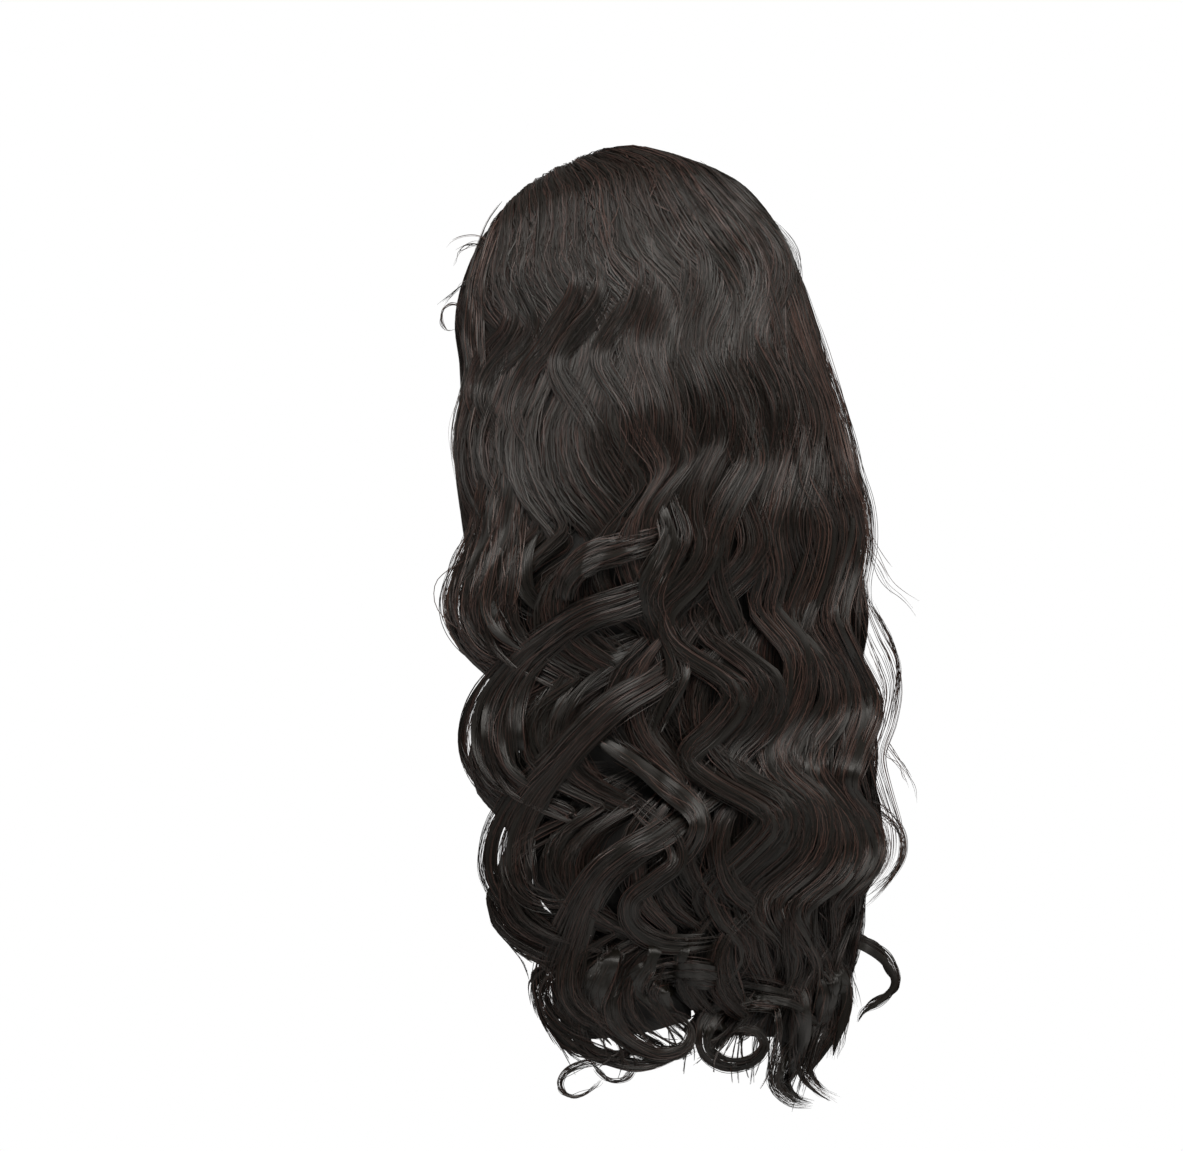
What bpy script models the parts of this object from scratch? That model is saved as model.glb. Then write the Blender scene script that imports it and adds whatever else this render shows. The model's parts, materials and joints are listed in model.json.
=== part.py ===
"""Lace front wig: an open lace cap with long body-wave hair in fused locks.

The origin is the inside top of the cap, where the crown of the head sits.
-Y is the face side, +X the wearer's left and +Z up. Lengths are in metres and
angles in degrees.
"""
import bmesh
import bpy
import numpy as np

# Head that the cap fits, 56 cm round
HEAD_HALF_WIDTH = 0.0775
HEAD_FRONT = 0.092
HEAD_BACK = 0.099
HEAD_TOP = 0.095
HEAD_BOTTOM = 0.105

# Cap
CAP_WALL = 0.0012
LACE_WALL = 0.001
SEAM_GAP = 0.0005
LACE_SEAM_Y = 0.003
EAR_TAB_TOP = 0.006
NAPE_BAND_HEIGHT = 0.024
CAP_COLUMNS = 32
CAP_RINGS = 8

# Parting, left of the middle, and the whorl at its back end
PARTING_OFFSET = 0.012
PARTING_FRONT_ANGLE = 52.0
PARTING_BACK_ANGLE = 20.0
PARTING_REACH = 0.45
PARTING_CLEARANCE = 0.003
WHORL_CLEARANCE = 0.009

# Hair
HAIR_CLEARANCE = 0.0012
HAIR_GAP = 0.0007
FALL_LENGTH = 0.41
ROOT_THICKNESS = 0.0085
ROOT_LEAN = 0.5
HEAD_THICKNESS = 0.008
FALL_THICKNESS = 0.015
SIDE_SPREAD = 0.029
BACK_DRIFT = 0.05
FRONT_WRAP = 125.0
UNDER_THICKNESS = 0.022
TIP_LENGTH = 0.078
TIP_LAP = 0.03
TIP_LAST = 0.005
TIP_WIDTH = 0.003
TIP_FILL = 0.9
TIP_DEPTH = 0.45
TIP_ROUNDNESS = 0.6
HEAD_STATIONS = 10
HEAD_STATION_GAP = 0.3
FALL_STATION = 0.013
SHARP_ANGLE = 50.0

# Borders between the sections of hair, as places from 0 at the back to 1 at a temple
BACK_BORDER = 0.24
SIDE_BORDER = 0.66
TEMPLE = 1.0
NAPE_BORDER = 0.44

# Body wave
WAVE_LENGTH = 0.072
WAVE_SWAY = 0.013
HEAD_SWAY = 0.0025
WAVE_SWELL = 0.01
HEAD_SWELL = 0.002
WAVE_TILT = 0.05
CUSP_SHARPNESS = 0.22
WAVE_GROWTH = 0.35

# Small steps: round the head, down the fall, and the least width of a place
PLACE_STEP = 0.01
FALL_EASE = 0.035
LEAST_WIDTH = 0.02

# The cap's lower edge: angle round from the back, and angle down from the top
CAP_EDGE = {
    "round": (0.0, 31.0, 60.0, 80.0, 92.0, 104.0, 114.0, 124.0, 135.0, 157.0, 180.0),
    "down": (134.0, 129.0, 117.0, 101.0, 102.0, 109.0, 108.0, 92.0, 76.0, 65.0, 61.0),
}

# The falling hair as shares of the named sizes, from the ears down to the tips
FALL = {
    "drop": (0.00, 0.08, 0.23, 0.33, 0.47, 0.60, 0.72, 0.85, 0.93, 1.00),
    "spread": (0.00, 0.38, 0.74, 0.84, 0.84, 0.93, 0.78, 0.34, -0.05, -0.70),
    "drift": (0.00, 0.20, 0.48, 0.47, 0.60, 0.86, 0.86, 0.84, 0.92, 1.04),
    "back": (1.00, 0.97, 0.82, 0.73, 0.62, 0.57, 0.49, 0.37, 0.31, 0.25),
    "front": (1.00, 0.94, 0.79, 0.77, 0.69, 0.61, 0.51, 0.40, 0.34, 0.28),
    "wrap": (1.00, 0.99, 0.96, 0.94, 0.90, 0.87, 0.84, 0.80, 0.78, 0.76),
    "thickness": (0.50, 0.62, 0.87, 0.94, 1.00, 1.00, 0.94, 0.80, 0.68, 0.50),
    "under": (0.20, 0.55, 1.00, 0.92, 0.78, 0.66, 0.56, 0.46, 0.38, 0.30),
}

# Wave crests along the hair in wavelengths from the ears, up over the head first
WAVE = {
    "height": (2.90, 0.86, -0.30, -1.46, -2.55, -3.52, -4.50, -5.35, -6.15),
    "crest": (-2.70, -1.00, 0.00, 1.00, 2.00, 3.00, 4.00, 5.00, 6.00),
}

# Each section: its reach round the head, from -1 at the right temple over 0 at the
# back to 1 at the left temple, and how far down each of its locks ends
SECTIONS = {
    "hair_side_right": {"reach": (-TEMPLE, -SIDE_BORDER), "ends": (0.93, 0.97, 0.92)},
    "hair_back_right": {"reach": (-SIDE_BORDER, -BACK_BORDER), "ends": (0.95, 1.00, 0.96)},
    "hair_back_middle": {"reach": (-BACK_BORDER, BACK_BORDER), "ends": (1.00, 0.93, 0.97)},
    "hair_back_left": {"reach": (BACK_BORDER, SIDE_BORDER), "ends": (0.92, 0.96, 0.90)},
    "hair_side_left": {"reach": (SIDE_BORDER, TEMPLE), "ends": (0.93, 0.88, 0.82)},
}
NAPE_SECTION = {"reach": (-NAPE_BORDER, NAPE_BORDER), "ends": (0.86, 0.93, 0.89), "start": 0.06}
NAPE_SIDES = (-1.0, -0.05)

# Cross-section of one lock among its neighbours, and of its free end: across it,
# and from its inner to its outer side
CURTAIN_SECTION = {"across": (0.0, 0.26, 0.68), "out": (0.52, 1.00, 0.86)}
TIP_SECTION = {
    "across": (-1.0, -0.5, 0.5, 1.0, 0.5, -0.5),
    "out": (0.45, 0.90, 0.90, 0.45, 0.0, 0.0),
}


def unit(vectors):
    """Vectors of length one."""
    return vectors / np.linalg.norm(vectors, axis=-1, keepdims=True)


def head_axes(y, z, grow):
    """Half axes of the head, grown by a length, for the side that a point is on."""
    side = np.full_like(y, HEAD_HALF_WIDTH + grow)
    depth = np.where(y > 0.0, HEAD_BACK, HEAD_FRONT) + grow
    height = np.where(z > 0.0, HEAD_TOP, HEAD_BOTTOM) + grow
    return side, depth, height


def head_point(direction, grow):
    """Point over the head in a direction from its centre, as an offset from the centre."""
    x, y, z = np.moveaxis(direction, -1, 0)
    side, depth, height = head_axes(y, z, grow)
    radius = 1.0 / np.sqrt((x / side) ** 2 + (y / depth) ** 2 + (z / height) ** 2)
    return direction * radius[..., None]


def from_centre(points):
    """Offsets from the head's centre moved to the part's own frame."""
    return points + np.array((0.0, 0.0, -HEAD_TOP))


def fall_value(column, drop):
    """A column of the fall table, eased between its rows."""
    steps = (-FALL_EASE, 0.0, FALL_EASE)
    return sum(np.interp(drop + step, FALL["drop"], FALL[column]) for step in steps) / len(steps)


def parting_direction(place):
    """Where the hair at a place round the head starts along the parting."""
    along = np.clip((np.abs(place) - PARTING_REACH) / (1.0 - PARTING_REACH), 0.0, 1.0)
    angle = np.radians(PARTING_BACK_ANGLE + along * (PARTING_FRONT_ANGLE - PARTING_BACK_ANGLE))
    offset = np.full_like(angle, PARTING_OFFSET / HEAD_TOP)
    return unit(np.stack((offset, -np.sin(angle), np.cos(angle)), axis=-1))


def ear_direction(place):
    """Where the hair at a place round the head reaches the height of the ears."""
    turn = np.radians(place * FRONT_WRAP)
    depth = np.where(np.cos(turn) > 0.0, HEAD_BACK, HEAD_FRONT)
    side = HEAD_HALF_WIDTH * np.sin(turn)
    return unit(np.stack((side, depth * np.cos(turn), np.zeros_like(turn)), axis=-1))


def head_arc(place):
    """Angle over the head from the parting to the height of the ears."""
    cosine = np.sum(parting_direction(place) * ear_direction(place), axis=-1)
    return np.arccos(np.clip(cosine, -1.0, 1.0))


def wave(place, station):
    """Sideways sway and outward swell of the hair."""
    share = np.clip(station, 0.0, 1.0)
    drop = np.clip(station - 1.0, 0.0, None)
    height = head_arc(place) * HEAD_TOP * (1.0 - share) - drop * FALL_LENGTH
    lengths = (height + WAVE_TILT * (place - TEMPLE)) / WAVE_LENGTH
    crest = np.interp(-lengths, [-value for value in WAVE["height"]], WAVE["crest"])
    turn = 2.0 * np.pi * crest
    grown = np.clip(drop / WAVE_GROWTH, 0.0, 1.0)
    sway = HEAD_SWAY * share + (WAVE_SWAY - HEAD_SWAY) * grown
    swell = HEAD_SWELL * share + (WAVE_SWELL - HEAD_SWELL) * grown
    sideways = sway * (-np.cos(turn) - CUSP_SHARPNESS * place * np.cos(2.0 * turn))
    return sideways, swell * (0.5 - 0.5 * np.cos(turn))


def over_head(place, share, out, lift):
    """Hair on the head: an arc from the parting to the height of the ears."""
    start = parting_direction(place)
    end = ear_direction(place)
    arc = head_arc(place)
    first = np.sin((1.0 - share) * arc) / np.sin(arc)
    second = np.sin(share * arc) / np.sin(arc)
    direction = unit(first[..., None] * start + second[..., None] * end)
    root = ROOT_THICKNESS * (1.0 + ROOT_LEAN * place)
    thickness = root + (HEAD_THICKNESS - root) * share
    inner = CAP_WALL + HAIR_CLEARANCE
    rise = inner + lift + out * thickness
    return head_point(direction, 0.0) + direction * rise[..., None]


def in_fall(place, drop, out, lift):
    """Hair below the ears: a wide bow round the back of the neck."""
    turn = np.radians(place * FRONT_WRAP * fall_value("wrap", drop))
    rise = CAP_WALL + HAIR_CLEARANCE + lift
    outer = out * FALL_THICKNESS * fall_value("thickness", drop)
    under = out * UNDER_THICKNESS * fall_value("under", drop)
    rise = rise + np.where(out > 0.0, outer, under)
    side = HEAD_HALF_WIDTH + SIDE_SPREAD * fall_value("spread", drop) + rise
    back = HEAD_BACK * fall_value("back", drop) + rise
    front = HEAD_FRONT * fall_value("front", drop) + rise
    depth = np.where(np.cos(turn) > 0.0, back, front)
    x = side * np.sin(turn)
    y = BACK_DRIFT * fall_value("drift", drop) + depth * np.cos(turn)
    return np.stack((x, y, -drop * FALL_LENGTH), axis=-1)


def flat_point(place, station, out, lift):
    """A point of the combed hair before its sideways wave, from the head's centre."""
    place, station, out, lift = np.broadcast_arrays(place, station, out, lift)
    share = np.clip(station, 0.0, 1.0)
    drop = np.clip(station - 1.0, 0.0, None)
    head = over_head(place, share, out, lift)
    fall = in_fall(place, drop, out, lift)
    return np.where((station < 1.0)[..., None], head, fall)


def width_of_place(place, station):
    """Length round the head for one unit of place."""
    none = np.zeros_like(place * station)
    ahead = flat_point(place + PLACE_STEP, station, none, none)
    behind = flat_point(place - PLACE_STEP, station, none, none)
    return np.linalg.norm(ahead - behind, axis=-1) / (2.0 * PLACE_STEP)


def hair_point(place, station, out):
    """A point of the waved hair in the part's frame."""
    sideways, lift = wave(place, station)
    width = np.maximum(width_of_place(place, station), LEAST_WIDTH)
    points = flat_point(place + sideways / width, station, out, lift)
    return from_centre(clear_of_cap(points))


def clear_of_cap(points):
    """Points pushed out sideways where they would come too near the cap."""
    x, y, z = np.moveaxis(points, -1, 0)
    side, depth, height = head_axes(y, z, CAP_WALL + HAIR_CLEARANCE)
    level = np.clip(1.0 - (z / height) ** 2, 0.0, None)
    inside = np.maximum((x / side) ** 2 + (y / depth) ** 2, 1e-9)
    push = np.where(z < 0.0, np.maximum(1.0, np.sqrt(level / inside)), 1.0)
    return np.stack((x * push, y * push, z), axis=-1)


def new_object(name, vertices, faces, material, collection):
    """A mesh object from its points and faces."""
    mesh = bpy.data.meshes.new(name)
    mesh.from_pydata([tuple(point) for point in np.asarray(vertices)], [], faces)
    mesh.materials.append(material)
    obj = bpy.data.objects.new(name, mesh)
    collection.objects.link(obj)
    return obj


def closed_loft(rings, name, material, collection):
    """A closed solid through rings of points, all with the same number of points."""
    count = len(rings[0])
    faces = [tuple(range(count))]
    for ring in range(len(rings) - 1):
        for corner in range(count):
            following = (corner + 1) % count
            low = ring * count
            high = low + count
            faces.append((low + corner, high + corner, high + following, low + following))
    last = (len(rings) - 1) * count
    faces.append(tuple(last + count - 1 - corner for corner in range(count)))
    obj = new_object(name, np.concatenate(rings), faces, material, collection)
    shape = bmesh.new()
    shape.from_mesh(obj.data)
    if shape.calc_volume(signed=True) < 0.0:
        bmesh.ops.reverse_faces(shape, faces=shape.faces)
    shape.to_mesh(obj.data)
    shape.free()
    obj.data.shade_smooth()
    obj.data.set_sharp_from_angle(angle=np.radians(SHARP_ANGLE))
    return obj


def root_station(place):
    """Share of the arc over the head at which the hair starts, clear of the parting."""
    along = np.clip((np.abs(place) - PARTING_REACH) / (1.0 - PARTING_REACH), 0.0, 1.0)
    clearance = WHORL_CLEARANCE + (PARTING_CLEARANCE - WHORL_CLEARANCE) * along
    return float(clearance / (HEAD_TOP * head_arc(place)))


def head_stations(place):
    """Stations over the head: beside the parting, then the same for all sections."""
    start = root_station(np.float64(place))
    shared = np.arange(HEAD_STATIONS) / HEAD_STATIONS
    return np.append(start, shared[shared > start + HEAD_STATION_GAP / HEAD_STATIONS])


def fall_stations(start, end):
    """Stations below the ears between two drops, on levels that all sections share."""
    shared = np.arange(0.0, 1.0, FALL_STATION / FALL_LENGTH)
    return 1.0 + shared[(shared >= start) & (shared <= end)]


def hem_start(ends):
    """How far down the locks of a section hang together before their ends part."""
    return min(ends) - TIP_LENGTH / FALL_LENGTH


def inner_reach(reach, station):
    """The reach of a section less half a gap at each end, at a station."""
    low, high = reach
    low_width = float(width_of_place(np.float64(low), station))
    high_width = float(width_of_place(np.float64(high), station))
    return low + 0.5 * HAIR_GAP / low_width, high - 0.5 * HAIR_GAP / high_width


def curtain_rings(reach, count, stations, sides):
    """Rings of the locks of a section where they hang side by side as one."""
    across = [(lock + share) / count for lock in range(count) for share in CURTAIN_SECTION["across"]]
    out = CURTAIN_SECTION["out"] * count
    inner = np.linspace(1.0, 0.0, 2 * count + 1)
    across = np.concatenate((across, (1.0,), inner))
    out = np.concatenate((out, out[:1], np.zeros_like(inner)))
    bottom, top = sides
    rings = []
    for station in stations:
        low, high = inner_reach(reach, station)
        places = low + (high - low) * across
        outs = bottom + (top - bottom) * out
        rings.append(hair_point(places, np.full_like(places, station), outs))
    return rings


def tip_rings(low, high, reach, stations, sides):
    """Rings of the free end of one lock, which narrows to its tip."""
    bottom, top = sides
    middle = 0.5 * (low + high)
    across = np.array(TIP_SECTION["across"])
    out = np.array(TIP_SECTION["out"])
    rings = []
    for station in stations:
        edge_low, edge_high = inner_reach(reach, station)
        left = (stations[-1] - station) / (stations[-1] - stations[0])
        taper = left ** TIP_ROUNDNESS
        width = float(width_of_place(np.float64(middle), station))
        half = max(0.5 * (high - low) * TIP_FILL * taper, 0.5 * TIP_WIDTH / width)
        places = np.clip(middle + half * across, edge_low, edge_high)
        thin = max(TIP_FILL * taper, TIP_WIDTH / FALL_THICKNESS)
        outs = bottom + (top - bottom) * (TIP_DEPTH + (out - TIP_DEPTH) * thin)
        rings.append(hair_point(places, np.full_like(places, station), outs))
    return rings


def join_solids(base, others):
    """A Boolean union of closed solids, applied to the first."""
    for other in others:
        union = base.modifiers.new("join " + other.name, "BOOLEAN")
        union.operation = "UNION"
        # The exact solver leaves edges shared by three faces where two rings share a level
        union.solver = "MANIFOLD"
        union.object = other
    mesh = bpy.data.meshes.new_from_object(base.evaluated_get(bpy.context.evaluated_depsgraph_get()))
    base.modifiers.clear()
    base.data = mesh
    for other in others:
        bpy.data.objects.remove(other, do_unlink=True)
    return base


def hair_section(name, section, over, sides, material, collection):
    """A section of hair: locks that hang together, with their free ends fused on."""
    reach = section["reach"]
    ends = section["ends"]
    start = section.get("start", 0.0)
    hem = hem_start(ends)
    stations = np.concatenate((over, fall_stations(start, hem)))
    rings = curtain_rings(reach, len(ends), stations, sides)
    curtain = closed_loft(rings, name, material, collection)
    edges = np.linspace(reach[0], reach[1], len(ends) + 1)
    tips = []
    for index, end in enumerate(ends):
        stations = fall_stations(hem - TIP_LAP / FALL_LENGTH, end - TIP_LAST / FALL_LENGTH)
        stations = np.append(stations, 1.0 + end)
        rings = tip_rings(edges[index], edges[index + 1], reach, stations, sides)
        tips.append(closed_loft(rings, f"{name}_tip_{index + 1}", material, collection))
    return join_solids(curtain, tips)


def cap_edge_angle(round_angle):
    """How far down from the top the cap reaches at an angle round from the back."""
    return np.interp(abs(round_angle), CAP_EDGE["round"], CAP_EDGE["down"])


def cap_surface(grow):
    """The inner surface of the whole cap as a bmesh dome from its top to its edge."""
    dome = bmesh.new()
    top = dome.verts.new(tuple(from_centre(head_point(np.array((0.0, 0.0, 1.0)), grow))))
    rows = []
    for ring in range(1, CAP_RINGS + 1):
        row = []
        for column in range(CAP_COLUMNS):
            round_angle = -180.0 + 360.0 * column / CAP_COLUMNS
            down = np.radians(cap_edge_angle(round_angle) * ring / CAP_RINGS)
            turn = np.radians(round_angle)
            flat = np.sin(down)
            direction = np.array((flat * np.sin(turn), flat * np.cos(turn), np.cos(down)))
            row.append(dome.verts.new(tuple(from_centre(head_point(direction, grow)))))
        rows.append(row)
    for column in range(CAP_COLUMNS):
        following = (column + 1) % CAP_COLUMNS
        dome.faces.new((top, rows[0][following], rows[0][column]))
        for ring in range(CAP_RINGS - 1):
            upper = rows[ring]
            lower = rows[ring + 1]
            corners = (upper[column], upper[following], lower[following], lower[column])
            dome.faces.new(corners)
    return dome


def keep_side(dome, point, normal):
    """Cuts a surface at a plane and keeps the side that the normal points to."""
    everything = dome.verts[:] + dome.edges[:] + dome.faces[:]
    bmesh.ops.bisect_plane(dome, geom=everything, plane_co=point, plane_no=normal, clear_inner=True)


def cap_piece(name, cuts, wall, material, collection):
    """A piece of the cap: the dome between its cuts, with the wall outside."""
    dome = cap_surface(0.0)
    for point, normal in cuts:
        keep_side(dome, point, normal)
    bmesh.ops.recalc_face_normals(dome, faces=dome.faces)
    centre = np.array((0.0, 0.0, -HEAD_TOP))
    outward = sum(np.dot(face.normal, np.array(face.calc_center_median()) - centre)
                  for face in dome.faces)
    if outward < 0.0:
        bmesh.ops.reverse_faces(dome, faces=dome.faces)
    mesh = bpy.data.meshes.new(name)
    dome.to_mesh(mesh)
    dome.free()
    mesh.materials.append(material)
    mesh.shade_smooth()
    obj = bpy.data.objects.new(name, mesh)
    collection.objects.link(obj)
    shell = obj.modifiers.new("wall", "SOLIDIFY")
    shell.thickness = wall
    shell.offset = 1.0
    shell.use_even_offset = True
    return obj


def build_cap(materials, collection):
    """The five cloth pieces of the cap, side by side with a small gap at each seam."""
    half = 0.5 * SEAM_GAP
    tab = -HEAD_TOP - EAR_TAB_TOP
    nape_edge = head_point(np.array((0.0, np.sin(np.radians(cap_edge_angle(0.0))),
                                     np.cos(np.radians(cap_edge_angle(0.0))))), 0.0)
    band = float(nape_edge[2]) - HEAD_TOP + NAPE_BAND_HEIGHT
    front = ((0.0, LACE_SEAM_Y - half, 0.0), (0.0, -1.0, 0.0))
    behind = ((0.0, LACE_SEAM_Y + half, 0.0), (0.0, 1.0, 0.0))
    above_tab = ((0.0, 0.0, tab + half), (0.0, 0.0, 1.0))
    below_tab = ((0.0, 0.0, tab - half), (0.0, 0.0, -1.0))
    above_band = ((0.0, 0.0, band + half), (0.0, 0.0, 1.0))
    below_band = ((0.0, 0.0, band - half), (0.0, 0.0, -1.0))
    left = ((0.0, 0.0, 0.0), (1.0, 0.0, 0.0))
    right = ((0.0, 0.0, 0.0), (-1.0, 0.0, 0.0))
    cap_piece("lace_front", (front, above_tab), LACE_WALL, materials["lace"], collection)
    cap_piece("cap_crown", (behind, above_band), CAP_WALL, materials["net"], collection)
    cap_piece("nape_band", (behind, below_band), CAP_WALL, materials["band"], collection)
    cap_piece("ear_tab_left", (front, below_tab, left), CAP_WALL, materials["band"], collection)
    cap_piece("ear_tab_right", (front, below_tab, right), CAP_WALL, materials["band"], collection)


def new_material(name, colour, roughness):
    """A plain Principled material."""
    material = bpy.data.materials.new(name)
    material.use_nodes = True
    shader = material.node_tree.nodes["Principled BSDF"]
    shader.inputs["Base Color"].default_value = (*colour, 1.0)
    shader.inputs["Roughness"].default_value = roughness
    shader.inputs["Metallic"].default_value = 0.0
    return material


def main():
    """Builds the wig."""
    for obj in list(bpy.data.objects):
        bpy.data.objects.remove(obj, do_unlink=True)
    collection = bpy.data.collections.new("lace_front_wig")
    bpy.context.scene.collection.children.link(collection)
    materials = {
        "lace": new_material("lace", (0.30, 0.19, 0.13), 0.85),
        "net": new_material("stretch_net", (0.030, 0.026, 0.023), 0.8),
        "band": new_material("elastic_band", (0.022, 0.020, 0.019), 0.75),
        "hair": new_material("dark_hair", (0.016, 0.013, 0.011), 0.4),
    }
    build_cap(materials, collection)
    for name, section in SECTIONS.items():
        over = head_stations(0.5 * sum(section["reach"]))
        hair_section(name, section, over, (0.0, 1.0), materials["hair"], collection)
    hair_section("hair_nape", NAPE_SECTION, (), NAPE_SIDES, materials["hair"], collection)


main()
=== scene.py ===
"""Looks of the lace front wig: long off-black body-wave hair on an open lace cap.

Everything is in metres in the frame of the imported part: the origin is the inside top of
the cap, -Y the side of the face, +X the wearer's left and +Z up. Hair is described by its
place round the head (-1 at the right temple, 0 behind, 1 at the left temple), its station
along the way (0 at the parting, 1 at the height of the ears, 2 at the full length) and how
far out it lies in the layer (0 inside, 1 outside).
"""
import json
import math

import bmesh
import bpy
import numpy as np
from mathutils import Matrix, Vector
from mathutils.bvhtree import BVHTree

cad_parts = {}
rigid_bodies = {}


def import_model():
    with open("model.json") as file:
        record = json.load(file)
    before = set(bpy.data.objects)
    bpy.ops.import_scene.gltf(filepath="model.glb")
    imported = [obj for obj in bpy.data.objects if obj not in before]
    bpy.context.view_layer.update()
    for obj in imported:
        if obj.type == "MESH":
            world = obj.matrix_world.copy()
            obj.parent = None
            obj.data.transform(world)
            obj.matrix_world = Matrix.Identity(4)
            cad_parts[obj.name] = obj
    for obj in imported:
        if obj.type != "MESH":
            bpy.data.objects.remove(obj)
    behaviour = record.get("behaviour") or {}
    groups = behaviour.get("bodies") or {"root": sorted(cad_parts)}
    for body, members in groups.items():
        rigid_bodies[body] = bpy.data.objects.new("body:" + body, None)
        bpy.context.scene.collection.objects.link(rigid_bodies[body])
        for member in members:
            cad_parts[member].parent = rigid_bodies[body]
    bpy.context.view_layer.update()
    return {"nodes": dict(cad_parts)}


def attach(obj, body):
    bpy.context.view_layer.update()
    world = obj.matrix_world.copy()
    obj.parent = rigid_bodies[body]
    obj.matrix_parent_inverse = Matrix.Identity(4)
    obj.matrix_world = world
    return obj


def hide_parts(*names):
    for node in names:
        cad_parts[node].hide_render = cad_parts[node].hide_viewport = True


MM = 0.001

# Head and cap, as in the part
HEAD_HALF_WIDTH = 77.5 * MM
HEAD_FRONT = 92.0 * MM
HEAD_BACK = 99.0 * MM
HEAD_TOP = 95.0 * MM
HEAD_BOTTOM = 105.0 * MM
CAP_WALL = 1.2 * MM
HAIR_CLEARANCE = 1.2 * MM

# Parting
PARTING_OFFSET = 12.0 * MM
PARTING_FRONT_ANGLE = 52.0
PARTING_BACK_ANGLE = 20.0
PARTING_REACH = 0.45

# Hair envelope
FALL_LENGTH = 410.0 * MM
ROOT_THICKNESS = 8.5 * MM
ROOT_LEAN = 0.5
HEAD_THICKNESS = 8.0 * MM
FALL_THICKNESS = 15.0 * MM
SIDE_SPREAD = 29.0 * MM
BACK_DRIFT = 50.0 * MM
FRONT_WRAP = 125.0
UNDER_THICKNESS = 22.0 * MM
FALL = {
    "drop": (0.00, 0.08, 0.23, 0.33, 0.47, 0.60, 0.72, 0.85, 0.93, 1.00),
    "spread": (0.00, 0.38, 0.74, 0.84, 0.84, 0.93, 0.78, 0.34, -0.05, -0.70),
    "drift": (0.00, 0.20, 0.48, 0.47, 0.60, 0.86, 0.86, 0.84, 0.92, 1.04),
    "back": (1.00, 0.97, 0.82, 0.73, 0.62, 0.57, 0.49, 0.37, 0.31, 0.25),
    "front": (1.00, 0.94, 0.79, 0.77, 0.69, 0.61, 0.51, 0.40, 0.34, 0.28),
    "wrap": (1.00, 0.99, 0.96, 0.94, 0.90, 0.87, 0.84, 0.80, 0.78, 0.76),
    "thickness": (0.50, 0.62, 0.87, 0.94, 1.00, 1.00, 0.94, 0.80, 0.68, 0.50),
    "under": (0.20, 0.55, 1.00, 0.92, 0.78, 0.66, 0.56, 0.46, 0.38, 0.30),
}

# Body wave: crests along the hair in wavelengths from the ears, as in the part
WAVE_LENGTH = 72.0 * MM
WAVE_SWAY = 13.0 * MM
HEAD_SWAY = 5.0 * MM
WAVE_SWELL = 10.0 * MM
HEAD_SWELL = 3.0 * MM
WAVE_TILT = 50.0 * MM
CUSP_SHARPNESS = 0.22
CUSP_RISE = 5.0 * MM
WAVE_GROWTH = 0.35
WAVE_DELAY = 0.14
WAVE = {
    "height": (2.90, 0.86, -0.30, -1.46, -2.55, -3.52, -4.50, -5.35, -6.15),
    "crest": (-2.70, -1.00, 0.00, 1.00, 2.00, 3.00, 4.00, 5.00, 6.00),
}

# How strong the wave is round the head: strongest in the locks of the left edge
WAVE_SHARES = {
    "place": (-1.00, -0.66, -0.40, -0.10, 0.25, 0.60, 1.00),
    "sway": (0.60, 0.60, 0.60, 0.65, 0.75, 1.00, 1.00),
    "swell": (0.50, 0.40, 0.30, 0.25, 0.40, 0.80, 1.00),
}

# The outline at the picture's left that the lobes of the hair keep to, in millimetres;
# it takes hold below the ears
LEFT_OUTLINE = {
    "height": (-95, -150, -185, -205, -228, -245, -258, -268, -275, -284, -312, -328, -340, -349,
               -381, -395, -413, -440, -466, -490),
    "edge": (-95, -99, -94, -92, -102, -101, -91, -77, -73, -82, -89, -84, -72, -66,
             -80, -77, -59, -52, -34, -20),
}
OUTLINE_SOFTNESS = 8.0 * MM
OUTLINE_DEPTH = 95.0 * MM
OUTLINE_FADE = 30.0 * MM

# Finer wave of the strands over the head, which gives way to the body wave below
FINE_LENGTH = 42.0 * MM
FINE_SWAY = 0.7 * MM
FINE_SWELL = 0.3 * MM
FINE_TURN = 5.0
FINE_CALM = 0.75

# Camera: the picture's scale and where the origin lies in it
PICTURE = (1183.0, 1151.0)
PIXELS_PER_METRE = 1880.0
ORIGIN_PIXEL = (632.0, 163.0)
CAMERA_AZIMUTH = 140.0
CAMERA_DISTANCE = 2.3
CAMERA_HEIGHT = -0.13
SENSOR = 36.0

# Lights: their turn from the camera and their rise in degrees, sizes in metres, power in watts
LIGHT_TARGET = (0.0, 0.03, -0.25)
LIGHTS = {
    "key": {"turn": 8.0, "rise": 46.0, "distance": 1.7, "size": (1.1, 0.8),
            "power": 18.5, "colour": (1.0, 0.965, 0.92)},
    "fill_right": {"turn": 75.0, "rise": 20.0, "distance": 1.8, "size": (0.8, 1.2),
                   "power": 9.0, "colour": (1.0, 0.95, 0.90)},
    "fill_left": {"turn": -70.0, "rise": 25.0, "distance": 1.8, "size": (0.8, 1.2),
                  "power": 6.0, "colour": (1.0, 0.96, 0.92)},
    "top": {"turn": -10.0, "rise": 80.0, "distance": 1.6, "size": (0.9, 0.9),
            "power": 7.0, "colour": (1.0, 0.97, 0.94)},
    "front": {"turn": 180.0, "rise": 2.0, "distance": 2.0, "size": (1.2, 1.2),
              "power": 7.0, "colour": (1.0, 1.0, 1.0)},
}
FLOOR_RADIUS = 2.2
FLOOR_HEIGHT = -1.3

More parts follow.
